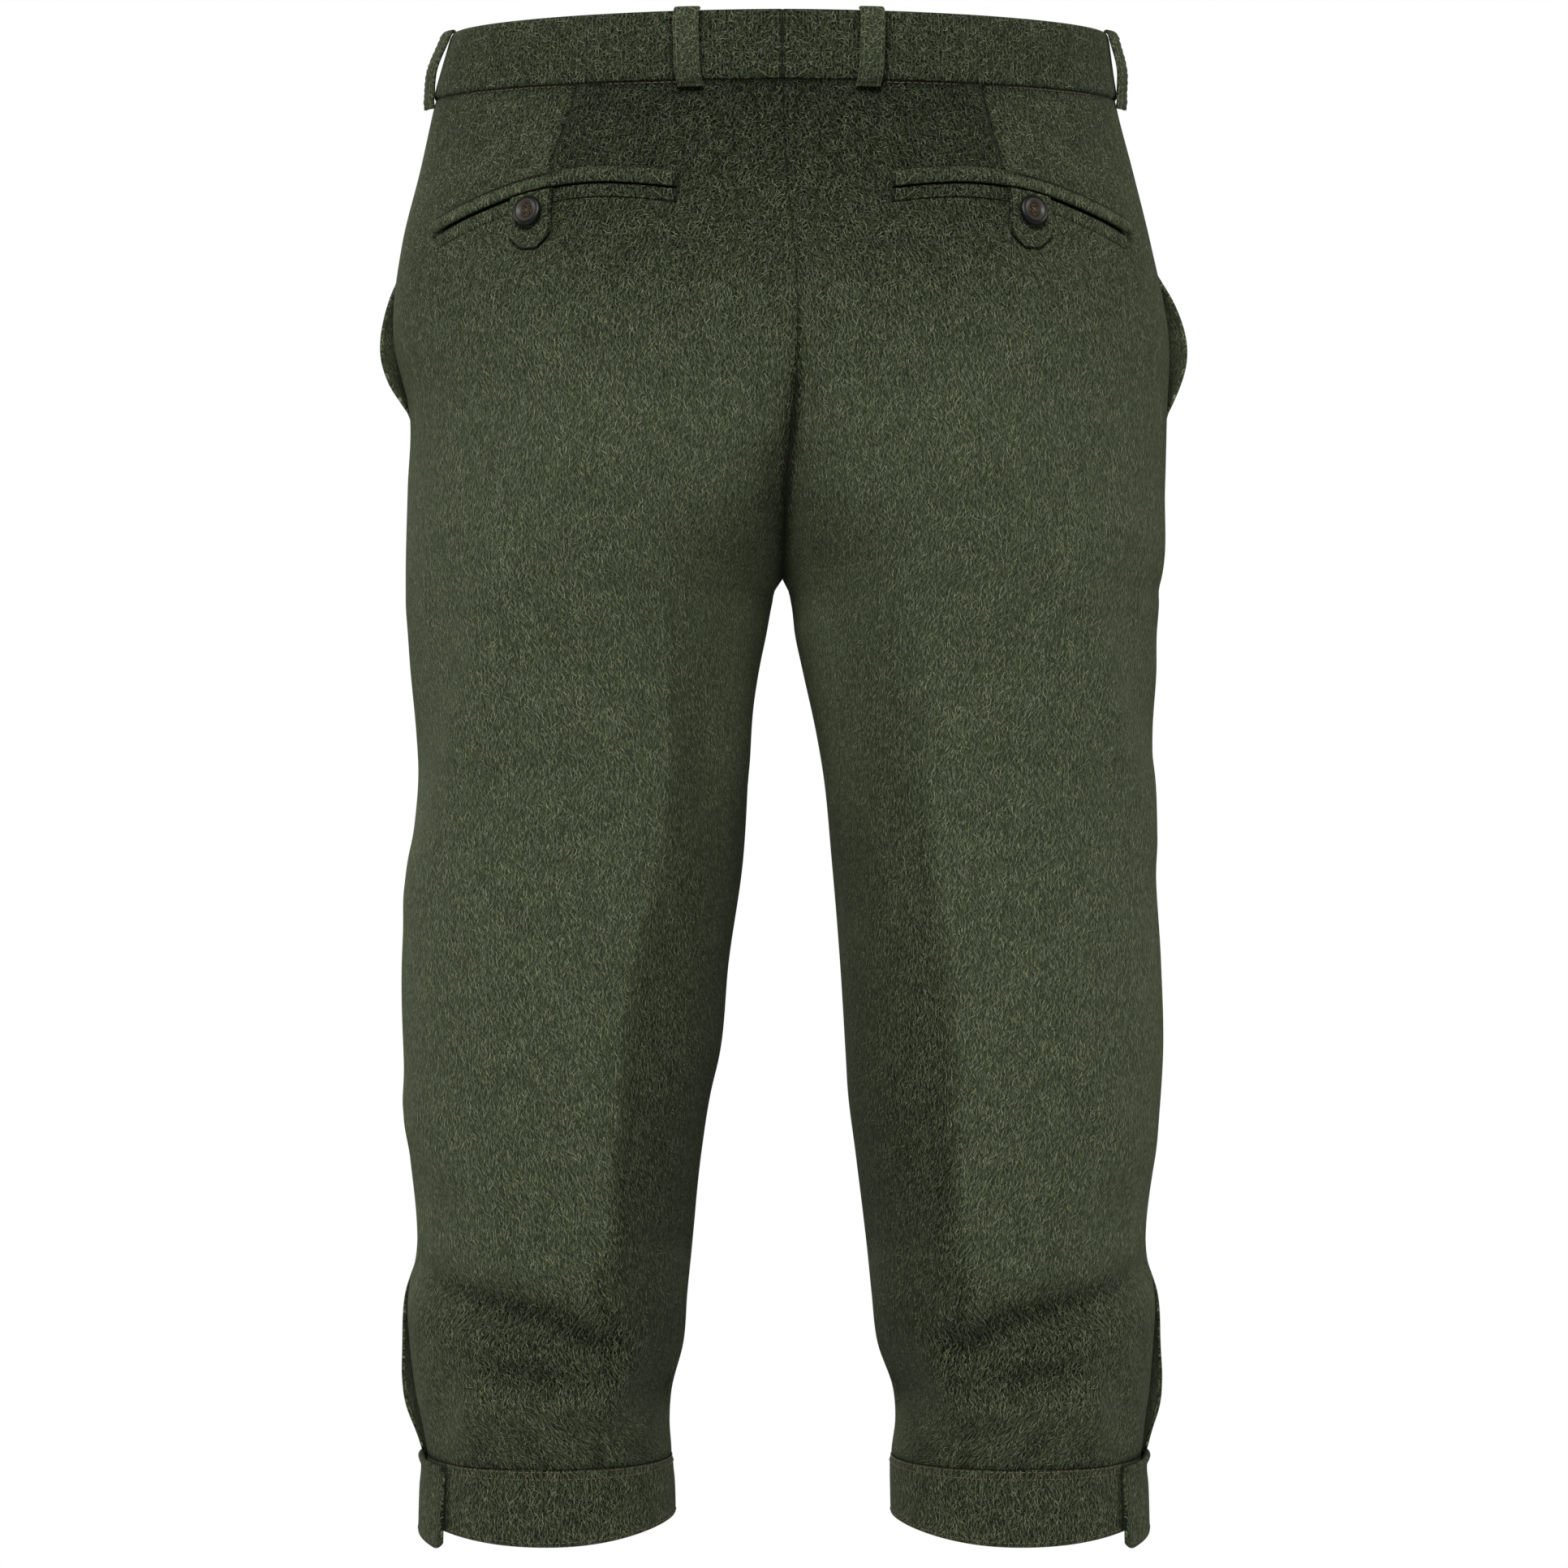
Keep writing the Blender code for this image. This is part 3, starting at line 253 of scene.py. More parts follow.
BUTTON_DROP = 10.0

FLY_EDGE = -6.0
FLY_WIDTH = 32.0
FLY_END = -172.0
FLY_TUCK = 1.5          # how far its top goes up behind the waistband's lap

HEM_RISE = {"outer": 6.5, "inner": 8.5}     # the hem is lowest at the middle of the back and front

CUFF_TAB_TURNS = (-26.0, 38.0)  # its two ends, in degrees from the side seam, the free end at the back
CUFF_TAB_DROP = 5.4             # how much lower its free end hangs
CUFF_TAB_THICK = 2.6


# ---------------------------------------------------------------- the shape of the cloth

def smooth(points, at):
    """Value at `at` of a smooth curve through (position, value) points, level beyond its ends."""
    ordered = np.array(sorted(points), dtype=float)
    position, value = ordered[:, 0], ordered[:, 1]
    slope = np.gradient(value, position)
    at = np.clip(np.asarray(at, dtype=float), position[0], position[-1])
    index = np.clip(np.searchsorted(position, at) - 1, 0, len(position) - 2)
    gap = position[index + 1] - position[index]
    part = (at - position[index]) / gap
    rest = 1.0 - part
    start = (1.0 + 2.0 * part) * rest ** 2 * value[index] + part * rest ** 2 * gap * slope[index]
    end = (3.0 - 2.0 * part) * part ** 2 * value[index + 1] - part ** 2 * rest * gap * slope[index + 1]
    return start + end


def straight(points, at):
    """Value at `at` on straight lines through (position, value) points, level beyond its ends."""
    return np.interp(at, *np.array(sorted(points), dtype=float).T)


def column(table, names, name):
    """The (position, value) points of one named column of a table."""
    place = names.index(name)
    return [(row[0], row[place]) for row in table]


def sided(name, side):
    """A piece's name with its side."""
    return name + ("_left" if side == LEFT else "_right")


def face_name(face):
    return "back" if face == BACK else "front"


def roundness(height):
    """Exponent of the ring's sine and cosine at a height."""
    return smooth(ROUNDING, height)


def crease_at(side, face, height):
    """Distance of the dart and the crease from the middle of the garment."""
    return smooth(column(CREASE, CREASE_COLUMNS, sided(face_name(face), side)), height)


def ring(side, face, height):
    """Middle, half width and half depth of the ring of cloth, and how far round it reaches."""
    out, inner, depth = (smooth(column(SHAPE, SHAPE_COLUMNS, name), height)
                         for name in (sided("out", side), sided("in", side), face_name(face)))
    parting = smooth(column(PARTING, PARTING_COLUMNS, face_name(face)), height - CROTCH)
    parting = np.clip(parting, 0.0, 1.0)
    middle = np.where(height > CROTCH, out * parting / (1.0 + parting), (out + inner) / 2.0)
    half_width = out - middle
    reach = np.arccos(-parting ** (1.0 / roundness(height)))
    return middle, half_width, depth, reach


def turn_at(side, face, across, height):
    """The turn at which the ring lies this far from the middle of the garment."""
    middle, half_width, _, reach = ring(side, face, height)
    share = np.clip((across - middle) / half_width, -1.0, 1.0)
    cosine = np.sign(share) * np.abs(share) ** (1.0 / roundness(height))
    return np.minimum(np.arccos(cosine), reach)


def distance_to_line(across, height, line):
    """Distance of each place from a line of points, and the share of the line that lies before it."""
    best = np.full(np.shape(across), np.inf)
    share = np.zeros(np.shape(across))
    lengths = [math.dist(start, end) for start, end in zip(line, line[1:])]
    gone = 0.0
    for start, end, length in zip(line, line[1:], lengths):
        run, rise = end[0] - start[0], end[1] - start[1]
        along = ((across - start[0]) * run + (height - start[1]) * rise) / length ** 2
        along = np.clip(along, 0.0, 1.0)
        away = np.hypot(across - start[0] - along * run, height - start[1] - along * rise)
        nearer = away < best
        best = np.where(nearer, away, best)
        share = np.where(nearer, (gone + along * length) / sum(lengths), share)
        gone += length
    return best, share


def fold_lift(side, face, across, height):
    """How far the folds and the crease lift the cloth out of its plain ring."""
    lift = np.zeros(np.shape(across))
    for sides, fold_face, rise, spread, line in FOLDS:
        if side in sides and fold_face == face:
            away, share = distance_to_line(across, height, line)
            middle_share = 1.0 - 0.45 * np.abs(2.0 * share - 1.0) ** 2
            lift += rise * middle_share * np.exp(-(away / spread) ** 2)
    crease_lift = smooth(column(CREASE, CREASE_COLUMNS, "lift"), height)
    nearness = np.clip(1.0 - np.abs(across - crease_at(side, face, height)) / CREASE_SPREAD, 0.0, 1.0)
    return lift + crease_lift * nearness ** 1.4


def pocket_slant(height):
    """Distance of the side pocket's mouth from the side seam."""
    rise = (height - POCKET_END) / (-BAND_HEIGHT / 2.0 - POCKET_END)
    return POCKET_SLANT * np.clip(rise, 0.0, 1.0)


def edge_lift(side, face, from_seam, height, outer_half):
    """The gape of the side pocket's edge and the puff of the vent, on the front panel only."""
    if face == BACK:
        return np.zeros(np.shape(height))
    past_edge = np.where(outer_half, np.maximum(from_seam - pocket_slant(height), 0.0), EDGE_REACH)
    fade = np.clip(1.0 - past_edge / EDGE_REACH, 0.0, 1.0) ** 2
    return (smooth(POCKET_GAPE[side], height) + smooth(VENT_PUFF, height)) * fade


def cloth(side, face, turn, height, folded=True, gaping=True):
    """Points of the cloth's outer face, in millimetres."""
    turn, height = np.broadcast_arrays(np.asarray(turn, float), np.asarray(height, float))
    middle, half_width, depth, _ = ring(side, face, height)
    cosine, sine = np.cos(turn), np.sin(turn)
    bend = roundness(height)
    across = middle + half_width * np.sign(cosine) * np.abs(cosine) ** bend
    deep = depth * np.sign(sine) * np.abs(sine) ** bend
    lift = np.zeros(np.shape(height))
    if folded:
        fade = np.clip(deep / SEAM_FADE, 0.0, 1.0)
        lift = lift + fold_lift(side, face, across, height) * fade ** 2 * (3.0 - 2.0 * fade)
    if gaping:
        lift = lift + edge_lift(side, face, deep, height, cosine > 0.0)
    outward = np.stack((cosine / half_width, sine / depth))
    outward = outward / np.linalg.norm(outward, axis=0)
    across = across + lift * outward[0]
    deep = deep + lift * outward[1]
    if face == BACK:
        deep = deep - smooth(SEAT_VALLEY, height) * np.exp(-(across / SEAT_VALLEY_REACH) ** 2)
    lean = smooth(SEAT_LEAN, height) * np.exp(-(across / SEAT_LEAN_REACH) ** 2)
    if face == FRONT:
        lean = np.zeros(np.shape(height))
    return np.stack((side * across + lean, face * deep, height), axis=-1)


def cloth_and_normal(side, face, turn, height, **ways):
    """Points of the cloth's outer face, and its outward directions."""
    step_turn, step_height = 0.01, 1.0
    turn, height = np.broadcast_arrays(np.asarray(turn, float), np.asarray(height, float))
    point = cloth(side, face, turn, height, **ways)
    round_ring = cloth(side, face, turn + step_turn, height, **ways)
    round_ring = round_ring - cloth(side, face, turn - step_turn, height, **ways)
    upward = cloth(side, face, turn, height + step_height, **ways)
    upward = upward - cloth(side, face, turn, height - step_height, **ways)
    normal = np.cross(round_ring, upward) * side * face
    normal = normal / np.linalg.norm(normal, axis=-1, keepdims=True)
    return point, normal


def moved_out(side, face, turn, height, lift, **ways):
    """Points of the cloth moved out of its face by `lift`."""
    point, normal = cloth_and_normal(side, face, turn, height, **ways)
    return point + normal * np.asarray(lift, float)[..., None]


# ---------------------------------------------------------------- materials

def linear(hex_colour):
    """An sRGB hex colour as linear red, green, blue and full alpha."""
    channels = [int(hex_colour[start:start + 2], 16) / 255.0 for start in (1, 3, 5)]
    return (*[c / 12.92 if c <= 0.04045 else ((c + 0.055) / 1.055) ** 2.4 for c in channels], 1.0)


def set_inputs(tree, node, inputs):
    """Sets a node's inputs to values, or links them from sockets or from other nodes' first outputs."""
    for name, value in inputs.items():
        if isinstance(value, bpy.types.Node):
            value = value.outputs[0]
        if isinstance(value, bpy.types.NodeSocket):
            tree.links.new(value, node.inputs[name])
        else:
            node.inputs[name].default_value = value


def add_node(tree, kind, inputs=None, **settings):
    """A node with its settings and its inputs."""
    node = tree.nodes.new(kind)
    for name, value in settings.items():
        setattr(node, name, value)
    set_inputs(tree, node, inputs or {})
    return node


def node_group(name, kind, inputs, outputs):
    """A new node group, where its inputs are read and where its outputs are set, each {name: socket kind}."""
    tree = bpy.data.node_groups.new(name, kind)
    for in_out, sockets in (("INPUT", inputs), ("OUTPUT", outputs)):
        for label, socket in sockets.items():
            tree.interface.new_socket(name=label, in_out=in_out, socket_type="NodeSocket" + socket)
    return tree, add_node(tree, "NodeGroupInput").outputs, add_node(tree, "NodeGroupOutput")


def surface(name):
    """A new material, its node tree and its shader."""
    material = bpy.data.materials.new(name)
    material.use_nodes = True
    return material, material.node_tree, material.node_tree.nodes["Principled BSDF"]


def ramp(tree, amount, stops):
    """A colour ramp of (position, hex colour) stops."""
    node = add_node(tree, "ShaderNodeValToRGB", {"Fac": amount})
    elements = node.color_ramp.elements
    while len(elements) < len(stops):
        elements.new(1.0)
    for element, (position, hex_colour) in zip(elements, stops):
        element.position = position
        element.color = linear(hex_colour)
    return node


# Pure wool fibres are about 0.03 mm thick, too fine to show, so each stroke below is a lock of them
FIBRE_WIDE = 0.27
FIBRE_LONG = 3.8
FIBRE_BEND = 0.16       # sideways run of a lock, for each millimetre along it squared
FIBRE_CELL = 2.0        # one lock of a layer lies in each patch of about this size
FELT_LUMP = 0.9         # width of the lumps in the felted ground under the locks
MOTTLE = 16.0           # width of the paler and darker patches
COMB_WANDER = 9.0       # distance over which the nap changes direction
COMB_SWING = 40.0       # and by how many degrees, each way
LOOSE_SPREAD = 1.35     # how far the locks turn where the nap was left loose
COMBED_SPREAD = 0.60    # and where it was brushed downwards
CREVICE_SHADE_REACH = 5.0           # painted shade: how near another piece has to be for the colour to be darkened, as in a crevice
LIT_CONTRAST = 0.82     # contrast of the locks where no shade is painted
SHADED_CONTRAST = 1.35  # and where the painted shade is deep
DARKEST = "#070907"

# Layers of locks from the ground up: (shift, mean lie in degrees, spread in degrees, darkest, lightest share)
FIBRE_LAYERS = (
    ((0.0, 0.0, 0.0), 50.0, 120.0, 0.00, 0.45),
    ((31.7, 12.3, 0.0), -30.0, 110.0, 0.00, 0.60),
    ((77.1, 45.9, 0.0), 12.0, 80.0, 0.10, 0.75),
    ((13.9, 88.4, 0.0), -8.0, 70.0, 0.15, 0.90),
    ((52.6, 61.2, 0.0), 22.0, 90.0, 0.10, 1.00),
    ((91.3, 29.8, 0.0), -24.0, 90.0, 0.20, 1.00),
)


def fibre_layer():
    """One layer of wool locks: short bent strokes strewn over the cloth, each with its own lie and tone."""
    tree, given, made = node_group(
        "wool_fibre_layer", "ShaderNodeTree",
        {"Place": "Vector", "Shift": "Vector", "Lie": "Float", "Spread": "Float"},
        {"Cover": "Float", "Tone": "Float"})
    place = add_node(tree, "ShaderNodeVectorMath", {0: given["Place"], 1: given["Shift"]}, operation="ADD")
    patch = add_node(tree, "ShaderNodeTexVoronoi", {"Vector": place, "Scale": 1.0 / FIBRE_CELL},
                     voronoi_dimensions="2D", feature="F1").outputs
    chance = add_node(tree, "ShaderNodeSeparateXYZ", {0: patch["Color"]}).outputs
    off = add_node(tree, "ShaderNodeVectorMath", {0: place, 1: patch["Position"]}, operation="SUBTRACT")
    centred = add_node(tree, "ShaderNodeMath", {0: chance["X"], 1: 0.5}, operation="SUBTRACT")
    angle = add_node(tree, "ShaderNodeMath", {0: centred, 1: given["Spread"], 2: given["Lie"]},
                     operation="MULTIPLY_ADD")
    turned = add_node(tree, "ShaderNodeVectorRotate", {"Vector": off, "Angle": angle}, rotation_type="Z_AXIS")
    own = add_node(tree, "ShaderNodeSeparateXYZ", {0: turned}).outputs
    squared = add_node(tree, "ShaderNodeMath", {0: own["Y"], 1: own["Y"]}, operation="MULTIPLY")
    bend = add_node(tree, "ShaderNodeMapRange",
                    {"Value": chance["Y"], "To Min": -FIBRE_BEND, "To Max": FIBRE_BEND})
    bent = add_node(tree, "ShaderNodeMath", {0: squared, 1: bend, 2: own["X"]}, operation="MULTIPLY_ADD")
    covers = []
    for socket, full, none in ((bent, 0.15 * FIBRE_WIDE, 0.75 * FIBRE_WIDE),
                               (own["Y"], 0.28 * FIBRE_LONG, 0.5 * FIBRE_LONG)):
        far = add_node(tree, "ShaderNodeMath", {0: socket}, operation="ABSOLUTE")
        span = {"Value": far, "From Min": full, "From Max": none, "To Min": 1.0, "To Max": 0.0}
        covers.append(add_node(tree, "ShaderNodeMapRange", span, interpolation_type="SMOOTHSTEP"))
    cover = add_node(tree, "ShaderNodeMath", {0: covers[0], 1: covers[1]}, operation="MULTIPLY")
    set_inputs(tree, made, {"Cover": cover, "Tone": chance["Z"]})
    return tree


FIBRE_LAYER = fibre_layer()


def loden(name, ground, fibres, mean_colour):
    """Loden: woollen cloth, milled until it felts, then brushed. Matt, with short fibres lying all ways."""
    material, tree, shader = surface(name)
    place = add_node(tree, "ShaderNodeUVMap", uv_map="cloth")
    place = add_node(tree, "ShaderNodeVectorMath", {0: place, 1: (1.0 / MM, 1.0 / MM, 0.0)},
                     operation="MULTIPLY")
    wander = add_node(tree, "ShaderNodeTexNoise",
                      {"Vector": place, "Scale": 1.0 / COMB_WANDER, "Detail": 2.0}, noise_dimensions="2D")
    mottle = add_node(tree, "ShaderNodeTexNoise",
                      {"Vector": place, "Scale": 1.0 / MOTTLE, "Detail": 5.0, "Roughness": 0.66},
                      noise_dimensions="2D")
    felt = add_node(tree, "ShaderNodeTexNoise",
                    {"Vector": place, "Scale": 1.0 / FELT_LUMP, "Detail": 3.0, "Roughness": 0.7},
                    noise_dimensions="2D")
    colour, raised = ramp(tree, felt, ground), felt
    comb = add_node(tree, "ShaderNodeAttribute", attribute_name="comb").outputs["Fac"]
    loose = add_node(tree, "ShaderNodeMapRange",
                     {"Value": comb, "To Min": LOOSE_SPREAD, "To Max": COMBED_SPREAD})
    for shift, lie, spread, darkest, lightest in FIBRE_LAYERS:
        way = add_node(tree, "ShaderNodeMapRange", {"Value": wander, "From Min": 0.25, "From Max": 0.75,
                                                    "To Min": math.radians(lie - COMB_SWING),
                                                    "To Max": math.radians(lie + COMB_SWING)})
        way = add_node(tree, "ShaderNodeMath", {0: way, 1: loose}, operation="MULTIPLY")
        turning = add_node(tree, "ShaderNodeMath", {0: math.radians(spread), 1: loose}, operation="MULTIPLY")
        layer = add_node(tree, "ShaderNodeGroup",
                         {"Place": place, "Shift": shift, "Lie": way, "Spread": turning},
                         node_tree=FIBRE_LAYER).outputs
        tone = add_node(tree, "ShaderNodeMapRange",
                        {"Value": layer["Tone"], "To Min": darkest, "To Max": lightest})
        colour = add_node(tree, "ShaderNodeMix",
                          {"Factor": layer["Cover"], 6: colour, 7: ramp(tree, tone, fibres)},
                          data_type="RGBA").outputs[2]
        standing = add_node(tree, "ShaderNodeMath", {0: layer["Cover"], 1: tone}, operation="MULTIPLY")
        raised = add_node(tree, "ShaderNodeMath", {0: raised, 1: standing}, operation="MAXIMUM")
    # The shade attribute holds the painted shade, and painted light where it is below zero
    shade = add_node(tree, "ShaderNodeAttribute", attribute_name="shade").outputs["Fac"]
    contrast = add_node(tree, "ShaderNodeMapRange",
                        {"Value": shade, "From Max": 0.6, "To Min": LIT_CONTRAST, "To Max": SHADED_CONTRAST})
    mean = linear(mean_colour)[:3]
    from_mean = add_node(tree, "ShaderNodeVectorMath", {0: colour, 1: mean}, operation="SUBTRACT")
    colour = add_node(tree, "ShaderNodeVectorMath", {0: from_mean, 1: contrast, 2: mean},
                      operation="MULTIPLY_ADD")
    colour = add_node(tree, "ShaderNodeVectorMath", {0: colour, 1: linear(DARKEST)[:3]}, operation="MAXIMUM")
    kept = add_node(tree, "ShaderNodeMath", {0: 1.0, 1: shade}, operation="SUBTRACT")
    # Painted shade where another piece comes near, as in a crevice
    crevice_shade = add_node(tree, "ShaderNodeAmbientOcclusion", {"Distance": CREVICE_SHADE_REACH * MM}, samples=4)
    open_share = add_node(tree, "ShaderNodeMapRange", {"Value": crevice_shade.outputs["AO"], "From Min": 0.3,
                                                       "From Max": 0.95, "To Min": 0.35, "To Max": 1.0})
    strength = add_node(tree, "ShaderNodeMapRange",
                        {"Value": mottle, "From Min": 0.3, "From Max": 0.7, "To Min": 0.89, "To Max": 1.11})
    for share in (kept, open_share):
        strength = add_node(tree, "ShaderNodeMath", {0: strength, 1: share}, operation="MULTIPLY")
    shaded = add_node(tree, "ShaderNodeVectorMath", {0: colour, 1: strength}, operation="MULTIPLY")
    bump = add_node(tree, "ShaderNodeBump", {"Height": raised, "Strength": 0.6, "Distance": 0.35 * MM})
    set_inputs(tree, shader, {"Base Color": shaded, "Normal": bump, "Roughness": 0.95,
                              "Specular IOR Level": 0.05, "Sheen Weight": 0.08, "Sheen Roughness": 0.5,
                              "Sheen Tint": linear("#a9b18f")})
    return material


# The button's colours from its middle to its rim, the rim at 1
BUTTON_RINGS = (
    (0.0, "#2c261a"), (0.42, "#362d1f"), (0.50, "#120f0b"), (0.58, "#2c2820"), (0.70, "#39342a"),
    (0.78, "#2e2a22"), (0.84, "#0a0908"), (1.0, "#050504"),
)
HORN_STREAKS = (0.9, 0.9, 0.26)     # streaks in each millimetre, along the three axes


def horn(name):
    """Buffalo horn, turned and polished: dark brown with paler streaks, a near black rim and a soft shine."""
    material, tree, shader = surface(name)
    place = add_node(tree, "ShaderNodeTexCoord").outputs["Object"]
    place = add_node(tree, "ShaderNodeVectorMath", {0: place, 1: [count / MM for count in HORN_STREAKS]},
                     operation="MULTIPLY")
    streaks = add_node(tree, "ShaderNodeTexNoise",
                       {"Vector": place, "Scale": 1.0, "Detail": 5.0, "Roughness": 0.65, "Distortion": 0.8})
    from_middle = add_node(tree, "ShaderNodeAttribute", attribute_name="from_middle").outputs["Fac"]
    waved = add_node(tree, "ShaderNodeMath", {0: streaks, 1: 0.10, 2: from_middle}, operation="MULTIPLY_ADD")
    amount = add_node(tree, "ShaderNodeMapRange",
                      {"Value": streaks, "From Min": 0.35, "From Max": 0.7, "To Min": 0.7, "To Max": 1.35})
    colour = add_node(tree, "ShaderNodeVectorMath", {0: ramp(tree, waved, BUTTON_RINGS), 1: amount},
                      operation="MULTIPLY")
    scratches = add_node(tree, "ShaderNodeBump", {"Height": streaks, "Strength": 0.3, "Distance": 0.12 * MM})
    set_inputs(tree, shader, {"Base Color": colour, "Normal": scratches, "Roughness": 0.46,
                              "Specular IOR Level": 0.22, "IOR": 1.55})
    return material


def sewing_thread(name, colour, dark):
    """Spun polyester sewing thread, twisted: slightly glossy, with a dark line at each twist."""
    material, tree, shader = surface(name)
    place = add_node(tree, "ShaderNodeTexCoord").outputs["Object"]
    twist = add_node(tree, "ShaderNodeTexNoise", {"Vector": place, "Scale": 1.0 / (0.5 * MM), "Detail": 2.0})
    amount = add_node(tree, "ShaderNodeMapRange", {"Value": twist, "From Min": 0.35, "From Max": 0.65})
    mixed = add_node(tree, "ShaderNodeMix", {"Factor": amount, 6: linear(dark), 7: linear(colour)},
                     data_type="RGBA").outputs[2]
    bump = add_node(tree, "ShaderNodeBump", {"Height": twist, "Strength": 0.4, "Distance": 0.08 * MM})
    set_inputs(tree, shader, {"Base Color": mixed, "Normal": bump, "Roughness": 0.6})
    return material


def painted_floor(name):
    """A painted studio floor: matt and near white, running out softly into the surround."""
    material, tree, shader = surface(name)
    place = add_node(tree, "ShaderNodeTexCoord").outputs["Object"]
    rolled = add_node(tree, "ShaderNodeTexNoise", {"Vector": place, "Scale": 1.2, "Detail": 3.0})
    amount = add_node(tree, "ShaderNodeMapRange", {"Value": rolled, "To Min": 0.985, "To Max": 1.0})
    colour = add_node(tree, "ShaderNodeVectorMath", {0: linear("#fafaf9")[:3], 1: amount},
                      operation="MULTIPLY")
    flat = add_node(tree, "ShaderNodeVectorMath", {0: place, 1: (1.0, 1.0, 0.0)}, operation="MULTIPLY")
    far = add_node(tree, "ShaderNodeVectorMath", {0: flat}, operation="LENGTH").outputs["Value"]
    kept = add_node(tree, "ShaderNodeMapRange",
                    {"Value": far, "From Min": 0.5, "From Max": 1.9, "To Min": 1.0, "To Max": 0.0},
                    interpolation_type="SMOOTHSTEP")
    set_inputs(tree, shader, {"Base Color": colour, "Alpha": kept, "Roughness": 0.9,
                              "Specular IOR Level": 0.1})
    return material


GREEN_LODEN = loden("green_loden", ((0.30, "#0c110b"), (0.50, "#192118"), (0.72, "#272f23")),
                    ((0.0, "#252c1f"), (0.35, "#3b432e"), (0.62, "#535940"), (0.80, "#636a5a"),
                     (0.92, "#787a60"), (1.0, "#8d8c70")), "#3a4230")
# A darker copy of the green loden, as painted shade inside the side pocket's mouth
SHADED_LODEN_FACING = loden("green_loden_facing_in_painted_shade", ((0.30, "#0a0c09"), (0.50, "#131711"), (0.72, "#1c211a")),
                     ((0.0, "#181d14"), (0.5, "#2f3626"), (1.0, "#5a5c49")), "#23291d")
BUFFALO_HORN = horn("polished_buffalo_horn")
BROWN_THREAD = sewing_thread("brown_sewing_thread", "#6b573c", "#261e14")
GREEN_THREAD = sewing_thread("green_sewing_thread", "#454c35", "#1b2015")


# ---------------------------------------------------------------- cloth pieces

RIM = 0.9               # the cut or folded edge of a sheet is rounded over this distance


def spaced(length, step, rim=RIM, far_rim=None):
    """Shares of a length, a step apart, but closer together near both ends."""
    near = np.array((0.0, 0.05, 0.2, 0.5))
    far = rim if far_rim is None else far_rim
    count = max(2, round((length - rim - far) / step))
    between = np.linspace(rim, length - far, count + 1)
    return np.concatenate((near * rim, between, length - near[::-1] * far)) / length


def fullness(reach, rim):
    """Share of the full thickness at a distance from the edge: a quarter round."""
    return np.maximum(np.sqrt(1.0 - (1.0 - np.clip(reach / rim, 0.0, 1.0)) ** 2), 0.04)


def placed(name, data):
    """An object with this data, put in the scene."""
    thing = bpy.data.objects.new(name, data)
    bpy.context.scene.collection.objects.link(thing)
    return thing


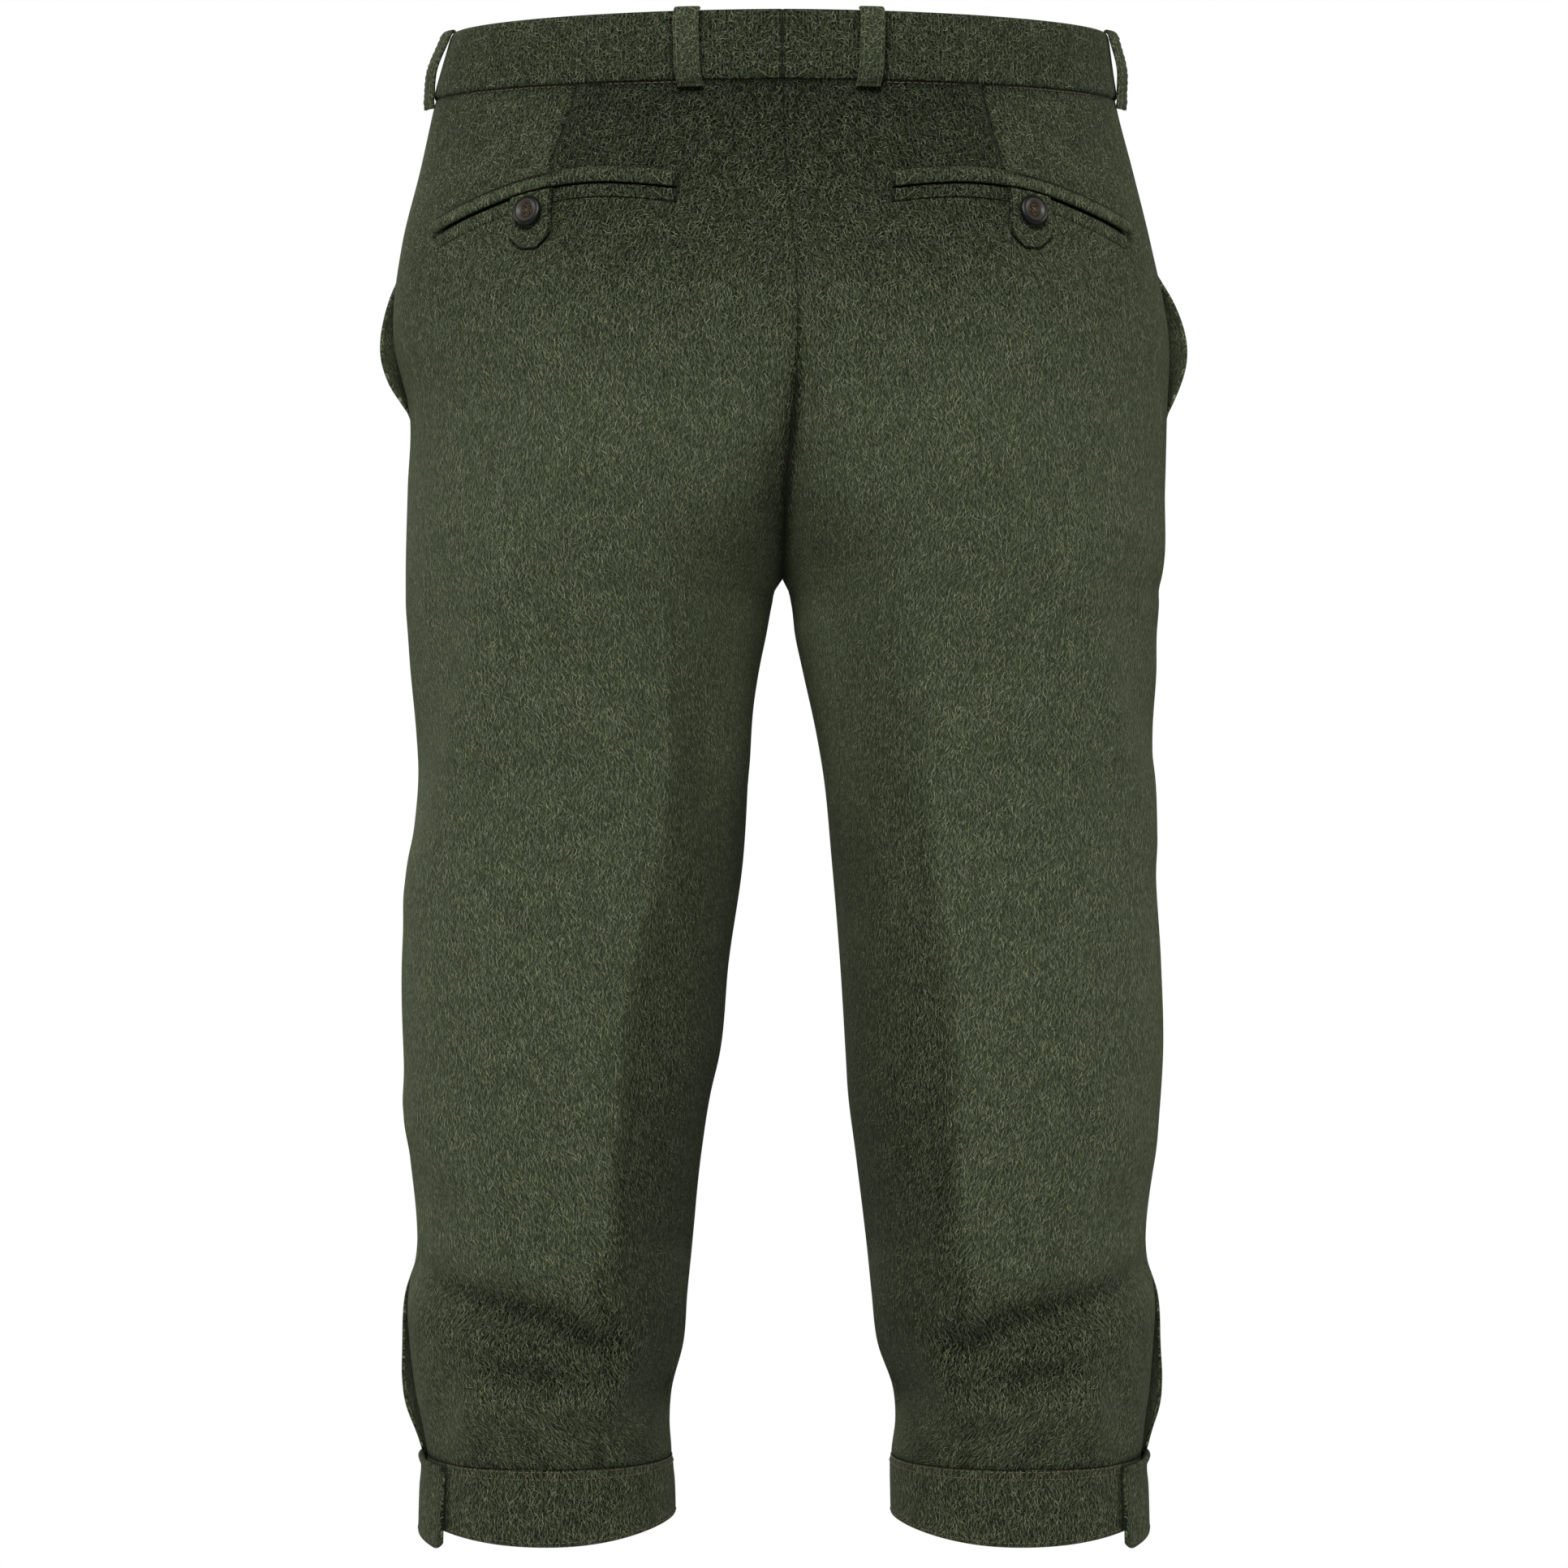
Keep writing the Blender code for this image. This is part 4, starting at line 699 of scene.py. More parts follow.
def wall(name, side, middle, thickness, material, rim=RIM, side_rim=None, closed=False, keep=None, shade=None,
         comb=None, from_last=0.0):
    """A sheet of cloth with rounded rims, round a grid of points in the middle of its thickness.

    Its map is measured from the first column, or from the last one with from_last=1."""
    rows, columns = middle.shape[:2]
    looped = np.concatenate((middle, middle[:, :1]), axis=1) if closed else middle
    across, along = np.zeros(looped.shape[:2]), np.zeros(looped.shape[:2])
    across[:, 1:] = np.cumsum(np.linalg.norm(np.diff(looped, axis=1), axis=-1), axis=1)
    along[1:] = np.cumsum(np.linalg.norm(np.diff(looped, axis=0), axis=-1), axis=0)
    full = fullness(np.minimum(along, along[-1:] - along), rim)[:, :columns]
    if not closed:
        full = full * fullness(np.minimum(across, across[:, -1:] - across), side_rim or rim)
    wrapped = np.concatenate((middle[:, -1:], middle, middle[:, :1]), axis=1) if closed else middle
    round_ring = np.gradient(wrapped, axis=1)[:, 1:-1] if closed else np.gradient(middle, axis=1)
    normal = np.cross(round_ring, np.gradient(middle, axis=0))
    normal = normal / np.maximum(np.linalg.norm(normal, axis=-1, keepdims=True), 1e-9)
    from_axis = middle * (1.0, 1.0, 0.0) - (side * LEG_AXIS, 0.0, 0.0)
    outward = float(np.sum(normal * from_axis)) > 0.0
    normal = normal if outward else -normal
    half = (thickness / 2.0 * full)[..., None]
    outer, inner = middle + normal * half, middle - normal * half
    if keep is not None:
        outer, inner = keep(outer), keep(inner)

    number = np.arange(rows * columns).reshape(rows, columns)
    map_number = np.arange(rows * looped.shape[1]).reshape(rows, looped.shape[1])
    here = np.arange(columns if closed else columns - 1)
    after = (here + 1) % columns
    inward = rows * columns
    faces, map_faces = [], []

    def add_faces(corners, map_corners, reverse):
        for made, quads in ((faces, corners), (map_faces, map_corners)):
            quads = np.stack(quads, axis=-1).reshape(-1, 4)
            made.append(quads[:, ::-1] if reverse else quads)

    def corners(numbers, start, end):
        return [numbers[:-1][:, start], numbers[:-1][:, end], numbers[1:][:, end], numbers[1:][:, start]]

    outside, map_outside = corners(number, here, after), corners(map_number, here, here + 1)
    add_faces(outside, map_outside, False)
    add_faces([corner + inward for corner in outside], map_outside, True)
    edges = [(number[row, here], number[row, after], map_number[row, here], map_number[row, here + 1], turned)
             for row, turned in ((0, False), (-1, True))]
    if not closed:
        edges += [(number[:-1, end], number[1:, end], map_number[:-1, end], map_number[1:, end], turned)
                  for end, turned in ((0, True), (-1, False))]
    for start, end, map_start, map_end, turned in edges:
        map_corners = (map_end, map_start, map_start, map_end)
        add_faces((end, start, start + inward, end + inward), map_corners, turned)
    faces, map_faces = np.concatenate(faces), np.concatenate(map_faces)
    if not outward:
        faces, map_faces = faces[:, ::-1], map_faces[:, ::-1]

    data = bpy.data.meshes.new(name)
    points = np.concatenate((outer.reshape(-1, 3), inner.reshape(-1, 3))) * MM
    data.from_pydata(points.tolist(), [], faces.tolist())
    flat = np.stack((across - across[:, -1:] * from_last, along), axis=-1).reshape(-1, 2) * MM
    data.uv_layers.new(name="cloth").data.foreach_set(
        "uv", flat[map_faces.reshape(-1)].astype(np.float32).reshape(-1))
    for label, values in (("shade", shade), ("comb", comb)):
        if values is not None:
            values = np.tile(np.broadcast_to(values, (rows, columns)).reshape(-1), 2).astype(np.float32)
            data.attributes.new(label, "FLOAT", "POINT").data.foreach_set("value", values)
    data.shade_smooth()
    data.materials.append(material)
    data.update()
    return placed(name, data)


PANEL_ROW_STEP = 2.9
PANEL_COLUMN_STEP = 2.8
PANEL_EDGE = 0.8
# How near the seat seam the first columns are drawn, so that it is closed
SEAM_CLOSING = (-0.02, 0.35, 0.6, 0.85)
CREASE_EDGE = 3.0       # the columns stand closer together this near the dart and crease
DART_END = -66.0
DART_DEPTH = 1.6
DART_HALF_WIDTH = 1.6

# Painted shade inboard of the dart and the pressed crease, by height
INBOARD_PAINTED_SHADE = (
    (-17, 0.28), (-60, 0.30), (-90, 0.18), (-120, 0.06), (-170, 0.0), (-265, 0.0), (-290, 0.04),
    (-330, 0.15), (-420, 0.30), (-480, 0.34), (-520, 0.40), (-560, 0.47), (-590, 0.38), (-625, 0.18),
    (-660, 0.08), (-700, 0.12),
)
# Painted shade all round, by height; a value below zero is painted light
PAINTED_SHADE_BY_HEIGHT = (
    (-13, 0.37), (-36, 0.31), (-68, 0.22), (-104, 0.25), (-143, 0.10), (-183, 0.0), (-230, -0.05),
    (-440, -0.06), (-500, 0.0), (-594, 0.04), (-611, 0.16), (-631, 0.40), (-651, 0.33), (-670, 0.27),
    (-700, 0.28),
)
# How far it was brushed downwards, by height, and on the cuffs
NAP_COMBED = ((-90, 0.0), (-115, 0.6), (-160, 0.95), (-320, 0.9), (-560, 1.0), (-640, 0.8), (-700, 0.8))
CUFF_COMBED = 0.9
# Painted shade on whole pieces: the waistband, the belt loops, the pocket tab, the cuffs and the pocket's
# facing
BAND_SHADE = 0.40
LOOP_SHADE = 0.08
TRIM_SHADE = 0.24
CUFF_SHADE = 0.33
FACING_SHADE = 0.35
WELT_PALER = {"welt_upper": 0.20, "welt_lower": 0.04}   # how much less painted shade a welt takes than the panel round it

# Painted shade along the seat seam, in the valley between the halves of the seat: how dark, and how wide, by
# height
SEAT_SEAM_PAINTED_SHADE = (
    (-17, 0.20), (-60, 0.25), (-100, 0.08), (-120, 0.20), (-146, 0.48), (-165, 0.74), (-185, 0.88),
    (-205, 0.88), (-259, 0.78),
)
SEAM_HALF_WIDTH = ((-17, 0.6), (-110, 0.8), (-146, 2.4), (-185, 3.8), (-205, 3.8), (-259, 3.2))

# Strokes of painted shade in the hollows of folds and beside the seat seam, and of painted light, at a
# negative amount, on rounds and on the inner thighs: (sides, face, amount, half width, line)
PAINTED_LIGHT_AND_SHADE_STROKES = (
    (BOTH, BACK, 0.44, 6.5, ((174, -606), (153, -613), (130, -619), (112, -624), (95, -631))),
    (BOTH, BACK, 0.34, 4.0, ((90, -598), (90, -612), (84, -622))),
    (BOTH, BACK, 0.34, 5.5, ((108, -627), (88, -637), (78, -633))),
    (BOTH, BACK, 0.34, 6.5, ((142, -646), (122, -649), (98, -653))),
    (BOTH, BACK, 0.24, 5.0, ((60, -652), (64, -676))),
    (BOTH, BACK, 0.34, 3.0, ((129, -686), (119, -694), (113, -699))),
    (BOTH, BACK, 0.32, 3.0, ((108, -676), (100, -682))),
    (BOTH, BACK, 0.34, 3.0, ((93, -678), (91, -699))),
    (BOTH, BACK, 0.28, 3.0, ((150, -684), (153, -699))),
    (BOTH, BACK, 0.26, 3.0, ((68, -688), (70, -699))),
    ((LEFT,), BACK, 0.30, 8.0, ((4, -196), (3, -228), (4, -256))),
    (BOTH, BACK, -0.55, 12.0, ((8, -246), (14, -282), (22, -325), (30, -370))),
    (BOTH, BACK, -0.26, 5.0, ((84, -612), (77, -628), (70, -638))),
    (BOTH, FRONT, 0.30, 7.0, ((64, -606), (100, -622), (160, -616))),
    (BOTH, FRONT, 0.25, 6.0, ((60, -552), (96, -566), (150, -556))),
)


def near(distance, spread):
    """How near a place is to a line: 1 on it, falling off smoothly over the spread."""
    return np.exp(-(distance / spread) ** 2)


def cloth_piece(name, side, middle, thickness, kind, held, rests_on, slot="wool", material=GREEN_LODEN,
                **ways):
    """A sheet that stands for the solid of the same name."""
    piece = wall(name + "_cloth", side, middle, thickness, material, **ways)
    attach(piece, "root")
    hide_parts(name)


def panel_shade(side, face, points, crease):
    """Painted shade: inboard of the creases, by height, along the dart, seams and hollows; painted light on
    rounds.
    """
    across, height = np.abs(points[..., 0]), points[..., 2]
    sharp = np.where(height > -100.0, 1.2, 8.0)
    inboard = np.clip((crease - across) / sharp + 0.2, 0.0, 1.0)
    shade = straight(INBOARD_PAINTED_SHADE, height) * inboard + straight(PAINTED_SHADE_BY_HEIGHT, height)
    shade = shade * (1.0 if face == BACK else 0.6)
    # Painted shade along the dart, under the band's seam and over the cuff's seam
    dart = near(across - crease, 0.8) * np.clip((height - DART_END) / 12.0, 0.0, 1.0)
    below_band = near(height + BAND_HEIGHT / 2.0, 1.8)
    above_cuff = near(height - CUFF_TOP, 1.8)
    open_share = (1.0 - shade) * (1.0 - 0.88 * dart) * (1.0 - 0.55 * below_band) * (1.0 - 0.5 * above_cuff)
    if face == BACK:
        from_seam = np.abs(points[..., 0] - smooth(SEAT_LEAN, height))
        drawn_in = near(from_seam, straight(SEAM_HALF_WIDTH, height)) * (height > CROTCH - 6.0)
        open_share = open_share * (1.0 - straight(SEAT_SEAM_PAINTED_SHADE, height) * drawn_in)
    for sides, stroke_face, amount, spread, line in PAINTED_LIGHT_AND_SHADE_STROKES:
        if side in sides and stroke_face == face:
            away, share = distance_to_line(across, height, line)
            fading = 1.0 - 0.5 * np.abs(2.0 * share - 1.0) ** 2
            open_share = open_share * (1.0 - amount * fading * near(away, spread))
    return 1.0 - open_share


def leg_panel(side, face):
    """One quarter of the legs and seat. One of its columns follows the dart and the crease."""
    kind = face_name(face) + "_panel"
    top, bottom = -BAND_HEIGHT / 2.0, CUFF_TOP
    heights = top + (bottom - top) * spaced(top - bottom, PANEL_ROW_STEP)
    _, _, depth, reach = ring(side, face, heights)
    side_edge = pocket_slant(heights) if face == FRONT else np.zeros(len(heights))
    side_turn = np.arcsin((side_edge / depth) ** (1.0 / roundness(heights)))
    crease_turn = turn_at(side, face, crease_at(side, face, heights), heights)
    inboard = spaced(110.0, PANEL_COLUMN_STEP, rim=PANEL_EDGE, far_rim=CREASE_EDGE)
    outboard = spaced(140.0, PANEL_COLUMN_STEP, rim=CREASE_EDGE, far_rim=PANEL_EDGE)[1:]
    turns = np.concatenate((reach[:, None] + (crease_turn - reach)[:, None] * inboard,
                            crease_turn[:, None] + (side_turn - crease_turn)[:, None] * outboard), axis=1)
    outer, normal = cloth_and_normal(side, face, turns, heights[:, None])
    crease = np.abs(outer[:, len(inboard) - 1, 0])[:, None]
    fade = np.clip((heights - DART_END) / 20.0, 0.0, 1.0)[:, None]
    pulled = DART_DEPTH * near(np.abs(outer[..., 0]) - crease, DART_HALF_WIDTH) * fade
    shade = panel_shade(side, face, outer, crease)
    outer = outer - normal * pulled[..., None]
    above = heights > CROTCH - 0.01
    seat_middle = (smooth(SEAT_LEAN, heights) if face == BACK else np.zeros(len(heights)))[above]

    def keep(grid):
        grid[:, :, 2] = np.clip(grid[:, :, 2], bottom, top)
        for place, share in enumerate(SEAM_CLOSING):
            beside = side * (grid[above, place, 0] - seat_middle)
            grid[above, place, 0] = seat_middle + side * share * np.maximum(beside, 0.0)
        grid[:, :, 1] = face * np.maximum(face * grid[:, :, 1], 0.0)
        return grid

    cloth_piece(sided(kind, side), side, outer - normal * CLOTH / 2.0, CLOTH, kind, "hung",
                [sided("waistband", side), sided("cuff", side)], rim=PANEL_EDGE, keep=keep, shade=shade,
                comb=straight(NAP_COMBED, outer[..., 2]), from_last=1.0)


BAND_RIM = 1.8
LAP_START = 30.0        # how far from the middle the waistband's left half begins to rise over the right one
# How far it has risen there, as a share, by distance from the middle
LAP_RISE = ((-34.0, 1.0), (-0.3, 1.0), (9.0, 0.55), (21.7, 0.1), (LAP_START, 0.0))
LOOP_SHADOW = 0.55      # painted shadow: how much a belt loop darkens the band close beside it
LOOP_SHADOW_WIDTH = 1.8


def waistband(side):
    """Half the waistband. The left half runs on over the right one at the front."""
    low, high = -BAND_HEIGHT / 2.0, BAND_HEIGHT / 2.0
    rows = low + (high - low) * spaced(high - low, 1.7, rim=BAND_RIM)
    proud = np.interp(rows, (low, low + 3.0, high - 3.0, high),
                      (BAND_PROUD - 0.8, BAND_PROUD, BAND_PROUD, BAND_PROUD - 0.9))
    open_end = float(turn_at(side, FRONT, LAP_START, 0.0))
    stations = [(side, BACK, turn, 0.0) for turn in np.linspace(math.pi / 2.0, 0.0, 140)[:-1]]
    stations += [(side, FRONT, turn, 0.0) for turn in np.linspace(0.0, open_end, 64)[:-1]]
    last = -BAND_LAP if side == LEFT else SEAM_GAP
    places = (np.linspace(LAP_START, last + 1.0, 26), last + np.array((0.5, 0.2, 0.05, 0.0)))
    for across in np.concatenate(places):
        over_side = side if across > 0.0 else -side
        over = float(straight(LAP_RISE, across)) * (BAND_THICK + REST_GAP) if side == LEFT else 0.0
        stations.append((over_side, FRONT, float(turn_at(over_side, FRONT, abs(across), 0.0)), over))
    grid = np.stack([moved_out(over_side, face, np.full(len(rows), turn), rows,
                               proud + over - BAND_THICK / 2.0)
                     for over_side, face, turn, over in stations], axis=1)
    grid[:, 0, 0] = 0.0
    kind = "waistband_lap" if side == LEFT else "waistband"
    cloth_piece(sided("waistband", side), side, grid, BAND_THICK, kind, "folded",
                [sided("back_panel", side), sided("front_panel", side)], rim=BAND_RIM, side_rim=0.7,
                shade=BAND_SHADE + (1.0 - BAND_SHADE) * beside_loops(side, grid))


def beside_loops(side, points):
    """Painted shadow of the belt loops on the waistband close beside them."""
    dark = np.zeros(points.shape[:2])
    for _, loop_side, face, turn_degrees, width in LOOPS:
        if loop_side == side and turn_degrees > SIDE_LOOP_TURN:
            middle = loop_place(side, face, turn_degrees, np.zeros(1), 0.0)[::-1, 0]
            from_middle = np.abs(points[..., 0] - np.interp(points[..., 2], middle[:, 2], middle[:, 0]))
            beside = near(from_middle - width / 2.0, LOOP_SHADOW_WIDTH) * (points[..., 1] * face > 0.0)
            dark = np.maximum(dark, LOOP_SHADOW * beside)
    return dark


def loop_place(side, face, turn_degrees, across, lift):
    """Points at these distances across a belt loop, `lift` out of its inner face, all along its course."""
    side_loop = turn_degrees < SIDE_LOOP_TURN
    course = SIDE_LOOP_COURSE if side_loop else LOOP_COURSE
    at = np.linspace(0.0, len(course) - 1.0, 52)
    heights, stands = (smooth(list(enumerate(values)), at) for values in zip(*course))
    turn = math.radians(turn_degrees)
    _, normal = cloth_and_normal(side, face, turn, 0.0)
    outward = np.array((normal[0], normal[1], 0.0))
    outward = outward / np.linalg.norm(outward)
    along = np.cross((0.0, 0.0, 1.0), outward)
    centre = cloth(side, face, np.full(len(heights), turn), heights, folded=False)
    centre = centre + outward * (stands + lift)[:, None]
    crown = LOOP_CROWN * (1.0 - (across / LOOP_HALF) ** 2)
    leaning = np.zeros(len(heights)) if side_loop else LOOP_LEAN[side] * heights / BAND_HEIGHT
    twist = -np.sign(along[1]) * LOOP_TWIST * across if side_loop else np.zeros(len(across))
    aside = across[None, :] + side * np.sign(along[0]) * leaning[:, None]
    return centre[:, None, :] + along * aside[..., None] + outward * (crown + twist)[None, :, None]


def belt_loop(name, side, face, turn_degrees, width):
    """A strip that stands off the waistband between its two sewn ends."""
    grid = loop_place(side, face, turn_degrees, width * (spaced(width, 1.2) - 0.5), CLOTH / 2.0)
    cloth_piece(name, side, grid, CLOTH, "belt_loop", "folded", [sided("waistband", side)], rim=0.95,
                shade=LOOP_SHADE)


def mouth(across):
    """Height of the back pocket's mouth."""
    return smooth(POCKET_MOUTH, across)


def welts(side):
    """The back pocket's two welts."""
    across = WELT_SPAN[0] + (WELT_SPAN[1] - WELT_SPAN[0]) * spaced(WELT_SPAN[1] - WELT_SPAN[0], 1.3)
    parts = (("welt_upper", 0.0, UPPER_WELT_TALL, (0.3, 1.5, 0.9, -1.1), WELT_THICK, 0.0, 0.95),
             ("welt_lower", -LOWER_WELT_TALL - MOUTH_GAP, LOWER_WELT_TALL, (-1.0, -0.3, 0.1, 0.2),
              LOWER_WELT_THICK, 0.5, 0.0))
    for kind, low, tall, lifts, thickness, sunk, top_shade in parts:
        shares = spaced(tall, 0.8, rim=thickness / 2.0)
        lift = np.interp(shares, (0.0, 0.18, 0.6, 1.0), lifts) + REST_GAP + thickness / 2.0
        heights = mouth(across)[None, :] + (low + tall * shares)[:, None]
        turns = turn_at(side, BACK, across[None, :], heights)
        outer_half = np.clip((across - 102.0) / 14.0, 0.0, 1.0)[None, :]
        grid = moved_out(side, BACK, turns, heights, lift[:, None] - outer_half * sunk)
        shade = panel_shade(side, BACK, grid, crease_at(side, BACK, heights)) - WELT_PALER[kind]
        # Painted shade in the ditch along the upper welt's top edge, on its outer half, and at both welts'
        # inner end
        under_top = np.maximum((1.0 - shares[:, None]) * tall - 1.9, 0.0)
        edge = top_shade * outer_half * near(under_top, 0.9)
        end = 0.5 * near(across[None, :] - WELT_SPAN[0], 0.9)
        cloth_piece(sided("back_pocket_" + kind, side), side, grid, thickness, kind, "folded",
                    [sided("back_panel", side)], rim=thickness / 2.0,
                    shade=1.0 - (1.0 - shade) * (1.0 - edge) * (1.0 - end))


def tab_place(side, share):
    """Middle of the pocket tab at a share of its length, as distance from the middle and height."""
    across = TAB_MIDDLE[side] + TAB_LEAN * share
    return across, mouth(TAB_MIDDLE[side]) - TAB_ROOT_GAP - TAB_LENGTH * share


def pocket_tab_place(side, across_shares, share, lift_over):
    """Points at shares of the pocket tab's half width and length, `lift_over` out of its inner face."""
    narrowing = np.clip((share - TAB_TAPER_START) / (1.0 - TAB_TAPER_START), 0.0, 1.0)
    half = TAB_WIDTH / 2.0 * (1.0 - (1.0 - TAB_TIP_WIDTH) * narrowing ** 1.3)
    lift = np.interp(share, (0.0, 0.3, 0.6, 1.0), (TAB_OVER_WELT, TAB_OVER_WELT, 1.3, 0.6)) + lift_over
    middle, height = tab_place(side, share)
    across = middle + half * across_shares
    heights = height + (mouth(across) - mouth(TAB_MIDDLE[side])) * (1.0 - share)
    turns = turn_at(side, BACK, across, heights)
    return moved_out(side, BACK, turns, heights, np.broadcast_to(lift, turns.shape))


def pocket_tab(side):
    """A tongue that comes out of the pocket's mouth and narrows to its tip."""
    shares = spaced(TAB_WIDTH, 1.0)[None, :]
    grid = pocket_tab_place(side, shares * 2.0 - 1.0, spaced(TAB_LENGTH, 0.9)[:, None], TRIM_CLOTH / 2.0)
    # Painted shadow along the tab's inner edge
    inner_edge = 0.6 * near(shares * TAB_WIDTH, 1.3)
    cloth_piece(sided("back_pocket_tab", side), side, grid, TRIM_CLOTH, "pocket_tab", "hung",
                [sided("back_pocket_welt_upper", side), sided("back_panel", side)],
                rim=TRIM_CLOTH / 2.0, shade=TRIM_SHADE + (1.0 - TRIM_SHADE) * inner_edge)


def side_pocket_facing(side):
    """The cloth seen inside the side pocket's mouth, under the edge of the front panel."""
    top, bottom = -17.6, -188.0
    heights = top + (bottom - top) * spaced(top - bottom, 3.0)
    _, _, depth, _ = ring(side, FRONT, heights)
    near_edge, far_edge = -FACING_LAPS[0], pocket_slant(heights) + FACING_LAPS[1]
    from_seam = near_edge + (far_edge - near_edge)[:, None] * spaced(50.0, 3.0)
    sines = (np.abs(from_seam) / depth[:, None]) ** (1.0 / roundness(heights)[:, None])
    turns = np.sign(from_seam) * np.arcsin(sines)
    lift = np.full(turns.shape, -FACING_DEPTH - TRIM_CLOTH / 2.0)
    grid = moved_out(side, FRONT, turns, heights[:, None], lift, folded=False, gaping=False)
    # Painted shade: the darker loden, darkened further, for the shade inside the mouth
    cloth_piece(sided("side_pocket_facing", side), side, grid, TRIM_CLOTH, "facing", "hung",
                [sided("waistband", side)], slot="inner_wool", material=SHADED_LODEN_FACING, rim=TRIM_CLOTH / 2.0,
                shade=FACING_SHADE)


def fly_place(across, heights, lift):
    """Points on the front, for signed distances from the middle."""
    left, right = (moved_out(side, FRONT, turn_at(side, FRONT, np.abs(across), heights), heights,
                             np.full(across.shape, lift)) for side in BOTH)
    return np.where((across > 0.0)[..., None], left, right)


def fly_far(heights):
    """The curved edge of the fly's lap."""
    bend = np.clip((heights - FLY_END) / 34.0, 0.0, 1.0)
    return FLY_EDGE + 5.0 + (FLY_WIDTH - FLY_EDGE - 5.0) * np.sqrt(1.0 - (1.0 - bend) ** 2)


def fly():
    """The fly's lap: straight at the front edge, curved into it at its lower end."""
    top = -BAND_HEIGHT / 2.0 + FLY_TUCK
    heights = (top + (FLY_END - top) * spaced(top - FLY_END, 2.0))[:, None]
    across = FLY_EDGE + (fly_far(heights) - FLY_EDGE) * spaced(38.0, 1.6)
    grid = fly_place(across, np.broadcast_to(heights, across.shape), REST_GAP + TRIM_CLOTH / 2.0)
    cloth_piece("fly_lap", LEFT, grid, TRIM_CLOTH, "fly", "hung", ["front_panel_left", "front_panel_right"],
                rim=TRIM_CLOTH / 2.0, shade=panel_shade(LEFT, FRONT, grid, crease_at(LEFT, FRONT, heights)))


CUFF_RIM = 1.2


def hem(turn):
    """Height of the hem at a turn round the cuff."""
    cosine = math.cos(turn)
    return CUFF_BOTTOM + cosine ** 2 * (HEM_RISE["outer"] if cosine > 0.0 else HEM_RISE["inner"])


def cuff_place(side, face, turn, shares, lift):
    """Points down the cuff at one turn, `lift` out of its outer face."""
    proud = np.interp(shares, (0.0, 0.11, 0.4, 1.0), (0.0, CUFF_PROUD, CUFF_PROUD, CUFF_PROUD - 0.4))
    heights = CUFF_TOP + (hem(turn) - CUFF_TOP) * shares
    return moved_out(side, face, np.full(len(shares), turn), heights, proud + lift,
                     folded=False, gaping=False)


def cuff(side):
    """The cuff band, a ring under the leg."""
    shares = spaced(CUFF_TOP - CUFF_BOTTOM, 1.6, rim=CUFF_RIM)
    turns = np.linspace(0.0, math.pi, 81)[:-1]
    stations = [(BACK, turn) for turn in turns] + [(FRONT, math.pi - turn) for turn in turns]
    grid = np.stack([cuff_place(side, face, turn, shares, -CUFF_THICK / 2.0)
                     for face, turn in stations], axis=1)
    cloth_piece(sided("cuff", side), side, grid, CUFF_THICK, "cuff", "folded",
                [sided("back_panel", side), sided("front_panel", side)], rim=CUFF_RIM, closed=True,
                shade=CUFF_SHADE, comb=CUFF_COMBED)


def cuff_tab_place(side, along, shares, lift_over):
    """Points down the cuff's tab at a share of its length, `lift_over` out of its inner face."""
    start, end = (math.radians(turn) for turn in CUFF_TAB_TURNS)
    turn = start + (end - start) * along
    drop = CUFF_TAB_DROP * max((along - 0.35) / 0.65, 0.0) ** 1.3
    corner = 4.0 * max((along - 0.9) / 0.1, 0.0) ** 2
    high = CUFF_TOP + 1.2 - 0.5 * drop
    low = CUFF_BOTTOM + 0.4 - drop + corner
    heights = high + (low - high) * shares
    over_seam = 1.2 * np.clip(1.0 - shares / 0.12, 0.0, 1.0)
    lift = CUFF_PROUD + REST_GAP + 0.5 * along * shares ** 2 + over_seam + lift_over
    point = moved_out(side, BACK if turn > 0.0 else FRONT, np.full(len(shares), abs(turn)),
                      np.maximum(heights, CUFF_BOTTOM), lift, folded=False, gaping=False)
    point[:, 2] = heights
    return point


def cuff_tab(side):
    """The end of the cuff that laps over the vent, its free end hanging a little low."""
    grid = np.stack([cuff_tab_place(side, along, spaced(37.0, 1.5), CUFF_TAB_THICK / 2.0)
                     for along in spaced(80.0, 1.6)], axis=1)
    cloth_piece(sided("cuff_tab", side), side, grid, CUFF_TAB_THICK, "cuff_tab", "folded",
                [sided("cuff", side)], rim=CUFF_RIM, shade=CUFF_SHADE, comb=CUFF_COMBED)


# ---------------------------------------------------------------- buttons

# Radius and height
BUTTON_PROFILE = (
    (0.0, 1.70), (1.6, 1.70), (3.0, 1.78), (3.9, 1.98), (4.5, 2.40), (4.95, 2.80), (5.5, 2.95), (6.1, 2.92),
    (6.7, 2.70), (7.15, 2.35), (7.45, 1.90), (7.5, 1.50), (7.3, 1.00), (6.8, 0.60), (5.6, 0.20), (4.0, 0.0),
    (0.0, 0.0),
)
HOLE_OUT = 1.9
HOLE_RADIUS = 0.85
BRIDGE_HEIGHT = 1.75    # height of the thread as it leaves a hole
THREAD_RISE = 0.35      # and how much higher it lies over the middle


